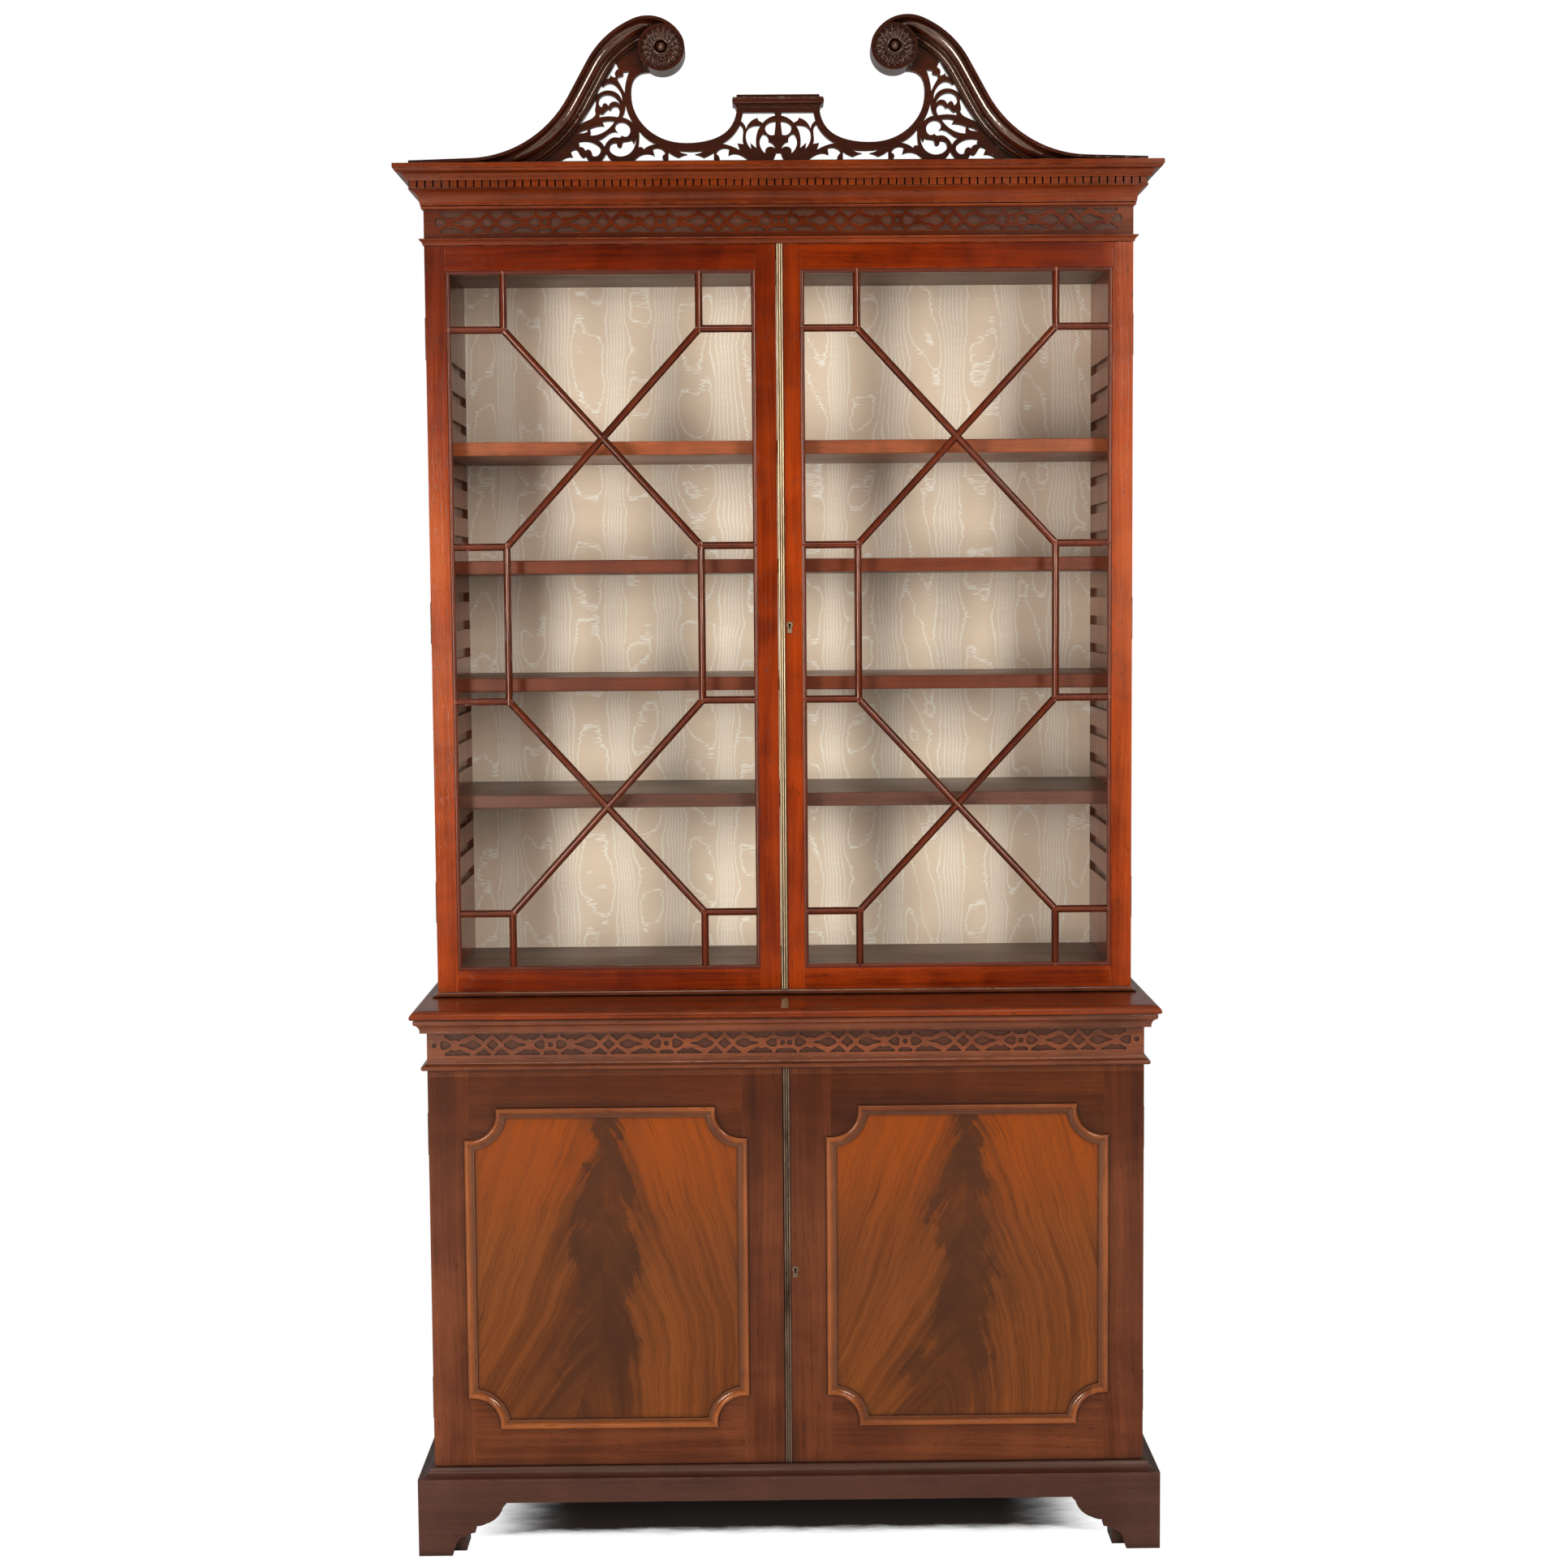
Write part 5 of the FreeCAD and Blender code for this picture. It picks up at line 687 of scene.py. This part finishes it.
def flameMaterial(name, node, shift):
    # A crotch figure. Every streak keeps one value of height plus a power of the distance from the
    # plume, so it falls away outwards like the barbs of a feather.
    low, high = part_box(node)
    paint, tree, shader = newMaterial(name)
    place = objectPlace(tree)
    fromFoot = moved(tree, place, (-(low.x + high.x) / 2, 0.0, -low.z))
    across, ahead, up = separated(tree, fromFoot)
    here = moved(tree, fromFoot, shift)
    share = mathNode(tree, "DIVIDE", up, high.z - low.z)
    drift = swung(tree, pattern(tree, here, flame["wander"]), flame["wanderReach"])
    lean = followed(tree, share, flame["leans"], flame["widest"])
    offset = minus(tree, across, plus(tree, lean, drift))
    side = absolute(tree, offset)
    arch = times(tree, mathNode(tree, "POWER", side, flame["archPower"]), flame["archRise"])
    sway = swung(tree, noise(tree, here, *flame["ruffle"]), flame["ruffleReach"])
    join = tree.nodes.new("ShaderNodeCombineXYZ")
    tree.links.new(plus(tree, plus(tree, up, arch), sway), join.inputs["X"])
    tree.links.new(times(tree, up, flame["climb"]), join.inputs["Y"])
    half = times(tree, mathNode(tree, "SIGN", offset), flame["sideGap"])
    tree.links.new(plus(tree, half, shift[0]), join.inputs["Z"])
    along = join.outputs[0]
    tone = 0.0
    for grade in ("broad", "medium", "fine"):
        part = flame[grade]
        streak = noise(tree, along, *part["noise"])
        tone = plus(tree, tone, times(tree, stretched(tree, streak, *part["range"]), part["share"]), True)
    addRelief(tree, shader, streak, flame["reliefStrength"], flame["relief"])
    colour = mixColour(tree, tone, flame["deep"], flame["light"])
    # The crown of the figure glows in gold, and dark hairs follow the streaks.
    crown = times(tree, stretched(tree, share, *flame["crownRange"]), plus(tree, tone, flame["crownLeast"], True))
    colour = mixColour(tree, crown, colour, flame["gold"])
    hair = stretched(tree, noise(tree, along, *flame["hair"]), *flame["hairRange"])
    colour = mixColour(tree, hair, colour, flame["line"])
    # The plume: a ragged edge at its half width, barbs that feather out beyond it, and a mottled middle.
    barbs = noise(tree, along, *flame["barbs"])
    tatter = noise(tree, here, *flame["tatter"])
    ragged = swung(tree, plus(tree, times(tree, barbs, 0.5), times(tree, tatter, 0.5)), flame["raggedReach"])
    width = followed(tree, share, flame["halfWidths"], flame["widest"])
    edge = plus(tree, minus(tree, side, width), ragged)
    feather = times(tree, stretched(tree, edge, *flame["featherEdge"]),
                    minus(tree, flame["featherMost"], tone, True))
    colour = mixColour(tree, feather, colour, flame["plume"])
    inside = times(tree, stretched(tree, tatter, *flame["mottleRange"]),
                   stretched(tree, share, *flame["footRange"]))
    plume = times(tree, stretched(tree, edge, *flame["plumeEdge"]), inside)
    colour = mixColour(tree, plume, colour, flame["plume"])
    pore = placed(tree, "mahoganyGrain", grainVector(tree, "up")).outputs["Pore"]
    colour = mixColour(tree, times(tree, pore, flame["poreShare"]), colour, flame["pore"])
    # Painted shade in corners and hollows.
    tree.links.new(hollowShaded(tree, place, colour, flame["pore"]), shader.inputs["Base Color"])
    polished(tree, shader, place, flame)
    return paint


# Brass, glass and silk

# The last colour of each brass is that of the painted shade in its hollows.
brasses = {
    "paleBrass": {"clean": (0.38, 0.28, 0.165), "dull": (0.13, 0.08, 0.045), "from": 0.42, "to": 0.8,
                  "low": 0.28, "high": 0.42, "hollowShade": (0.03, 0.015, 0.008)},
    "darkBrass": {"clean": (0.22, 0.145, 0.095), "dull": (0.07, 0.042, 0.028), "from": 0.38, "to": 0.66,
                  "low": 0.32, "high": 0.6, "hollowShade": (0.015, 0.009, 0.006)},
}
stainLook = {"noise": (34.0, 5.0, 0.7), "stretch": (1.0, 1.0, 0.25), "roughRange": (0.3, 0.8)}
pane = {"tint": (0.92, 0.95, 0.93), "roughness": 0.02, "refraction": 1.5, "alpha": 0.05,
        "wave": (9.0, 2.0), "relief": 0.001, "reliefStrength": 0.05}
# column is the width of one wave and oval the height of one swell, in metres. Between the trough of a wave and
# its crest lie twice as many lines as rings says.
silk = {
    "ground": (0.80, 0.635, 0.455), "shine": (1.0, 0.95, 0.82), "column": 0.2, "oval": 0.17, "rings": 4.0,
    "flatCrest": (-0.95, 0.95, -1.0, 1.0), "swell": 0.12,
    "roam": {"noise": (4.0, 2.0), "stretch": (1.0, 0.0, 0.2), "reach": 3.0},
    "shift": {"noise": (6.0, 1.0), "stretch": (1.0, 0.0, 0.1), "reach": 30.0},
    "waver": {"noise": (7.0, 2.0), "stretch": (1.0, 0.0, 2.2), "reach": 1.9},
    "notch": {"noise": (26.0, 2.0), "stretch": (1.0, 0.0, 11.0), "reach": 0.7},
    "thread": {"noise": (26.0, 2.0, 0.5), "stretch": (1.0, 0.0, 22.0), "range": (0.35, 0.65)},
    "line": (0.04, 0.17, 1.0, 0.0), "crestLine": 0.3, "slopeLine": 0.7,
    "plainLine": 0.4, "ribbedLine": 0.6, "slopeRange": (0.6, 1.0), "slopeShine": 0.16, "ribShine": 0.07,
    "roughness": (0.72, 0.5), "level": 0.3, "relief": 0.0004, "reliefStrength": 0.25,
}


def brassMaterial(name):
    part = brasses[name]
    paint, tree, shader = newMaterial(name)
    place = objectPlace(tree)
    stain = pattern(tree, place, stainLook)
    tarnish = stretched(tree, stain, part["from"], part["to"])
    colour = mixColour(tree, tarnish, part["clean"], part["dull"])
    # Painted shade in corners and hollows.
    tree.links.new(hollowShaded(tree, place, colour, part["hollowShade"]), shader.inputs["Base Color"])
    rough = stretched(tree, stain, *stainLook["roughRange"], part["low"], part["high"])
    tree.links.new(rough, shader.inputs["Roughness"])
    shader.inputs["Metallic"].default_value = 1.0
    return paint


def glassMaterial():
    paint, tree, shader = newMaterial("oldGlass")
    shader.inputs["Base Color"].default_value = (*pane["tint"], 1)
    shader.inputs["Roughness"].default_value = pane["roughness"]
    shader.inputs["IOR"].default_value = pane["refraction"]
    shader.inputs["Transmission Weight"].default_value = 1.0
    shader.inputs["Alpha"].default_value = pane["alpha"]
    wave = noise(tree, objectPlace(tree), *pane["wave"])
    addRelief(tree, shader, wave, pane["reliefStrength"], pane["relief"])
    return paint


def silkMaterial():
    # Watered silk. A wave across the cloth, with flat crests whose height swells and shrinks up the cloth, is cut
    # into contour lines. On its slopes they run upright and close, and on its crests a few shut into ovals.
    paint, tree, shader = newMaterial("wateredSilk")
    place = objectPlace(tree)
    x, y, z = separated(tree, place)
    loose = {name: times(tree, pattern(tree, place, silk[name]), silk[name]["reach"])
             for name in ("roam", "shift", "waver", "notch")}
    lanes = plus(tree, times(tree, x, 2 * math.pi / silk["column"]), loose["roam"])
    rise = plus(tree, times(tree, z, 2 * math.pi / silk["oval"]), loose["shift"])
    swell = plus(tree, times(tree, mathNode(tree, "COSINE", rise), silk["swell"]), 1.0)
    crest = stretched(tree, mathNode(tree, "COSINE", lanes), *silk["flatCrest"])
    wave = times(tree, times(tree, crest, swell), silk["rings"])
    field = plus(tree, plus(tree, wave, loose["waver"]), loose["notch"])
    ring = absolute(tree, minus(tree, mathNode(tree, "FRACT", field), 0.5))
    # The lines are thin on the flat crests and broad on the slopes.
    slope = absolute(tree, mathNode(tree, "SINE", lanes))
    broad = plus(tree, times(tree, slope, silk["slopeLine"]), silk["crestLine"])
    line = stretched(tree, mathNode(tree, "DIVIDE", ring, broad), *silk["line"])
    rib = stretched(tree, pattern(tree, place, silk["thread"]), *silk["thread"]["range"])
    sheen = times(tree, line, plus(tree, times(tree, rib, silk["ribbedLine"]), silk["plainLine"]))
    lit = times(tree, stretched(tree, slope, *silk["slopeRange"]), silk["slopeShine"])
    sheen = plus(tree, plus(tree, sheen, lit, True), times(tree, rib, silk["ribShine"]), True)
    tree.links.new(mixColour(tree, sheen, silk["ground"], silk["shine"]), shader.inputs["Base Color"])
    tree.links.new(stretched(tree, sheen, 0.0, 1.0, *silk["roughness"]), shader.inputs["Roughness"])
    shader.inputs["Specular IOR Level"].default_value = silk["level"]
    addRelief(tree, shader, rib, silk["reliefStrength"], silk["relief"])
    return paint


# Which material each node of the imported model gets

doors = {
    "shifts": {"upper_left": still, "upper_right": (0.37, 0.21, 0.5),
               "lower_left": (0.1, 0.3, 0.2), "lower_right": (0.5, 0.1, 0.7)},
    # The panes reach into the rebate, short of the flat of the frame and past the lip of the moulding.
    "flatGap": 0.0024, "lipGap": 0.0045,
    # The level lengths of a lower door's moulding begin this far inside the panel's ends. From front to back, its
    # sides take a painted shade between these two shares of its depth.
    "cornerGap": 0.02, "crest": (0.25, 0.75),
}
plainWoods = (
    ("barWood", "barMahogany", "up", still, ("upper_left_bars", "upper_right_bars")),
    ("corniceWood", "friezeMahogany", "across", still, ("frieze_mouldings", "cornice_mouldings", "dentils")),
    ("upperFretWood", "upperFretMahogany", "across", still, ("upper_fret",)),
    ("baseFriezeWood", "baseFriezeMahogany", "across", still, ("base_fret", "base_mouldings", "waist_moulding")),
    ("friezeGround", "groundMahogany", "across", (0.2, 0.1, 0.3), ("upper_frieze", "base_frieze")),
    ("topWood", "friezeMahogany", "across", (0.4, 0.2, 0.1), ("base_top",)),
    ("sideWood", "doorMahogany", "up", (0.7, 0.2, 0.1), ("upper_side_left", "upper_side_right")),
    ("baseSideWood", "baseMahogany", "up", (0.7, 0.9, 0.1), ("base_side_left", "base_side_right")),
    ("plinthWood", "plinthMahogany", "across", still, ("skirt_front", "skirt_sides", "plinth_moulding")),
    ("pedimentWood", "pedimentMahogany", "across", still, ("pediment_fret", "swan_necks", "pediment_cap")),
    ("innerWood", "innerMahogany", "across", still, ("upper_bottom", "upper_top")),
    ("shelfWood", "shelfMahogany", "across", (0.1, 0.6, 0.2), ("shelf_1",)),
    ("midShelfWood", "midShelfMahogany", "across", (0.7, 0.1, 0.4), ("shelf_2", "shelf_3")),
    ("lowShelfWood", "lowShelfMahogany", "across", (0.1, 0.2, 0.2), ("shelf_4",)),
    ("carcassWood", "carcassOak", "across", still, ("base_boards", "base_shelf", "dust_board", "skirt_back")),
    # The foot blocks take the dark plinth wood as a painted shade for the shadow behind the feet.
    ("footBlockShadeWood", "plinthMahogany", "up", (0.3, 0.3, 0.1), ("foot_blocks",)),
    ("backWood", "carcassOak", "up", still, ("base_back", "upper_back")),
)
brassNodes = {
    "paleBrass": ("upper_astragal", "upper_left_brasses", "upper_right_brasses", "hinges_fixed",
                  "upper_left_top_bolt", "upper_left_bottom_bolt", "upper_lock_bolt"),
    "darkBrass": ("lower_astragal", "lower_left_brasses", "lower_right_brasses", "lower_left_top_bolt",
                  "lower_left_bottom_bolt", "lower_lock_bolt"),
}


def dress(paint, *names):
    for name in names:
        mesh = nodes[name].data
        mesh.materials.clear()
        mesh.materials.append(paint)


def dressUpperDoor(door):
    low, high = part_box(door + "_glass")
    flat, lip = doors["flatGap"], doors["lipGap"]
    inner = (low.x - flat, high.x + flat)
    sight = (low.x + lip, high.x - lip, low.z + lip, high.z - lip)
    dress(woodMaterial(door + "Frame", "doorMahogany", "up", doors["shifts"][door], inner, sight),
          door + "_frame")


def dressLowerDoor(door):
    shift = doors["shifts"][door]
    low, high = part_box(door + "_panel")
    dress(woodMaterial(door + "Frame", "baseMahogany", "up", shift, (low.x, high.x)), door + "_frame")
    dress(flameMaterial(door + "Flame", door + "_panel", shift), door + "_panel")
    front, back = [corner.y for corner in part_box(door + "_moulding")]
    crest = [front + share * (back - front) for share in doors["crest"]]
    inner = (low.x + doors["cornerGap"], high.x - doors["cornerGap"])
    dress(woodMaterial(door + "Moulding", "mouldingMahogany", "up", shift, inner, None, crest),
          door + "_moulding")


def dressNodes():
    for side in ("left", "right"):
        dressUpperDoor("upper_" + side)
        dressLowerDoor("lower_" + side)
    for name, wood, direction, shift, names in plainWoods:
        dress(woodMaterial(name, wood, direction, shift), *names)
    for name, names in brassNodes.items():
        dress(brassMaterial(name), *names)
    dress(glassMaterial(), "upper_left_glass", "upper_right_glass")


# The pieces made here

def meshPiece(name, points, faces, paint):
    mesh = bpy.data.meshes.new(name)
    mesh.from_pydata(points, [], faces)
    mesh.update()
    piece = bpy.data.objects.new(name, mesh)
    bpy.context.scene.collection.objects.link(piece)
    mesh.materials.append(paint)
    return piece


def gridFaces(rows, columns):
    start = (np.arange(rows - 1)[:, None] * columns + np.arange(columns - 1)[None, :]).ravel()
    return np.stack([start, start + 1, start + columns + 1, start + columns], axis=1).tolist()


lining = {"columns": 161, "rows": 171, "proud": 0.0007, "wave": 0.00025}


def makeSilk():
    # A sheet stretched over the back boards, a hair proud of them, with the faint waves of old cloth.
    low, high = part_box("silk_lining")
    gridX, gridZ = np.meshgrid(np.linspace(low.x, high.x, lining["columns"]),
                               np.linspace(low.z, high.z, lining["rows"]))
    # Waves across the cloth that bend as they rise, times waves up the cloth that lean as they go across.
    wave = lining["wave"] * np.sin(gridX * 23 + np.sin(gridZ * 5)) * np.sin(gridZ * 4.1 + gridX * 2)
    gridY = np.full_like(gridX, low.y + lining["proud"]) + wave
    points = np.stack([gridX.ravel(), gridY.ravel(), gridZ.ravel()], axis=1).tolist()
    piece = meshPiece("silkLining", points, gridFaces(lining["rows"], lining["columns"]), silkMaterial())
    piece.data.shade_smooth()
    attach(piece, "cabinet")
    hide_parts("silk_lining")


rosette = {
    "rings": 64, "spokes": 216,
    # Shares of the radius, and heights as shares of the whole.
    "domeShare": 0.25, "domeHeight": 1.0, "beadFrom": 0.29, "beadTo": 0.44, "beadHeight": 0.6,
    "petals": 18, "petalFrom": 0.42, "petalHeight": 0.7, "petalTo": 0.90, "petalTip": 0.10,
    # The petal's height across: that of its edge, of its round and of its rib.
    "edge": 0.25, "round": 0.60, "rib": 0.15,
}


def rosetteRelief(reach, turn):
    # Height as a share of the whole: a dome, a bead round it that is half an ellipse in section, then petals
    # that swell along the radius, with a rib down the middle and a notch between two of them.
    dome = rosette["domeHeight"] * np.sqrt(np.clip(1 - (reach / rosette["domeShare"]) ** 2, 0, 1))
    middle = (rosette["beadFrom"] + rosette["beadTo"]) / 2
    half = (rosette["beadTo"] - rosette["beadFrom"]) / 2
    bead = rosette["beadHeight"] * np.sqrt(np.clip(1 - ((reach - middle) / half) ** 2, 0, 1))
    across = np.abs(np.cos(turn * rosette["petals"] / 2))
    end = rosette["petalTo"] + rosette["petalTip"] * across ** 0.5
    along = np.clip((reach - rosette["petalFrom"]) / (end - rosette["petalFrom"]), 0, 1)
    leaf = np.sin(np.pi * along ** 1.5) ** 0.6
    section = rosette["edge"] + rosette["round"] * across ** 0.6 + rosette["rib"] * across ** 12
    petal = rosette["petalHeight"] * leaf * section
    return np.maximum(np.maximum(dome, bead), petal)


def makeRosettes(paint):
    low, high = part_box("rosettes")
    radius = (high.z - low.z) / 2
    deep = high.y - low.y
    rings, spokes = rosette["rings"], rosette["spokes"]
    reach = np.linspace(0.0, 1.0, rings + 1)[1:]
    turn = np.arange(spokes) * 2 * np.pi / spokes
    gridReach, gridTurn = np.meshgrid(reach, turn, indexing="ij")
    rise = rosetteRelief(gridReach, gridTurn) * deep
    rise[-1] = 0.0
    points, faces = [], []
    middle = (high.z + low.z) / 2
    for side in (-1, 1):
        centre = side * (high.x - radius)
        start = len(points)
        x = centre + side * radius * gridReach * np.cos(gridTurn)
        z = middle + radius * gridReach * np.sin(gridTurn)
        points += np.stack([x.ravel(), (high.y - rise).ravel(), z.ravel()], axis=1).tolist()
        points.append([centre, low.y, middle])
        hub = len(points) - 1
        for row in range(rings - 1):
            for spoke in range(spokes):
                ahead = (spoke + 1) % spokes
                first, second = start + row * spokes, start + (row + 1) * spokes
                faces.append((first + spoke, second + spoke, second + ahead, first + ahead))
        faces += [(hub, start + spoke, start + (spoke + 1) % spokes) for spoke in range(spokes)]
        faces.append(tuple(start + (rings - 1) * spokes + spoke for spoke in reversed(range(spokes))))
    piece = meshPiece("carvedRosettes", points, faces, paint)
    shape = bmesh.new()
    shape.from_mesh(piece.data)
    bmesh.ops.recalc_face_normals(shape, faces=shape.faces)
    shape.to_mesh(piece.data)
    shape.free()
    piece.data.shade_smooth()
    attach(piece, "cabinet")
    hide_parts("rosettes")


bpy.context.scene.view_settings.view_transform = "Standard"
makeCamera()
makeSweep()
makeWorld()
for name in ("key", "fill", "top"):
    makeLamp(name)
log("camera, lamps and stage")
for makeGroup in (makeGrainGroup, makePolishGroup, makeEdgeGroup, makeFadedGroup, makeWaxGroup):
    group = makeGroup()
    groups[group.name] = group
dressNodes()
log("woods, brass and glass")
makeRosettes(nodes["pediment_cap"].data.materials[0])
log("rosettes")
makeSilk()
log("silk lining")
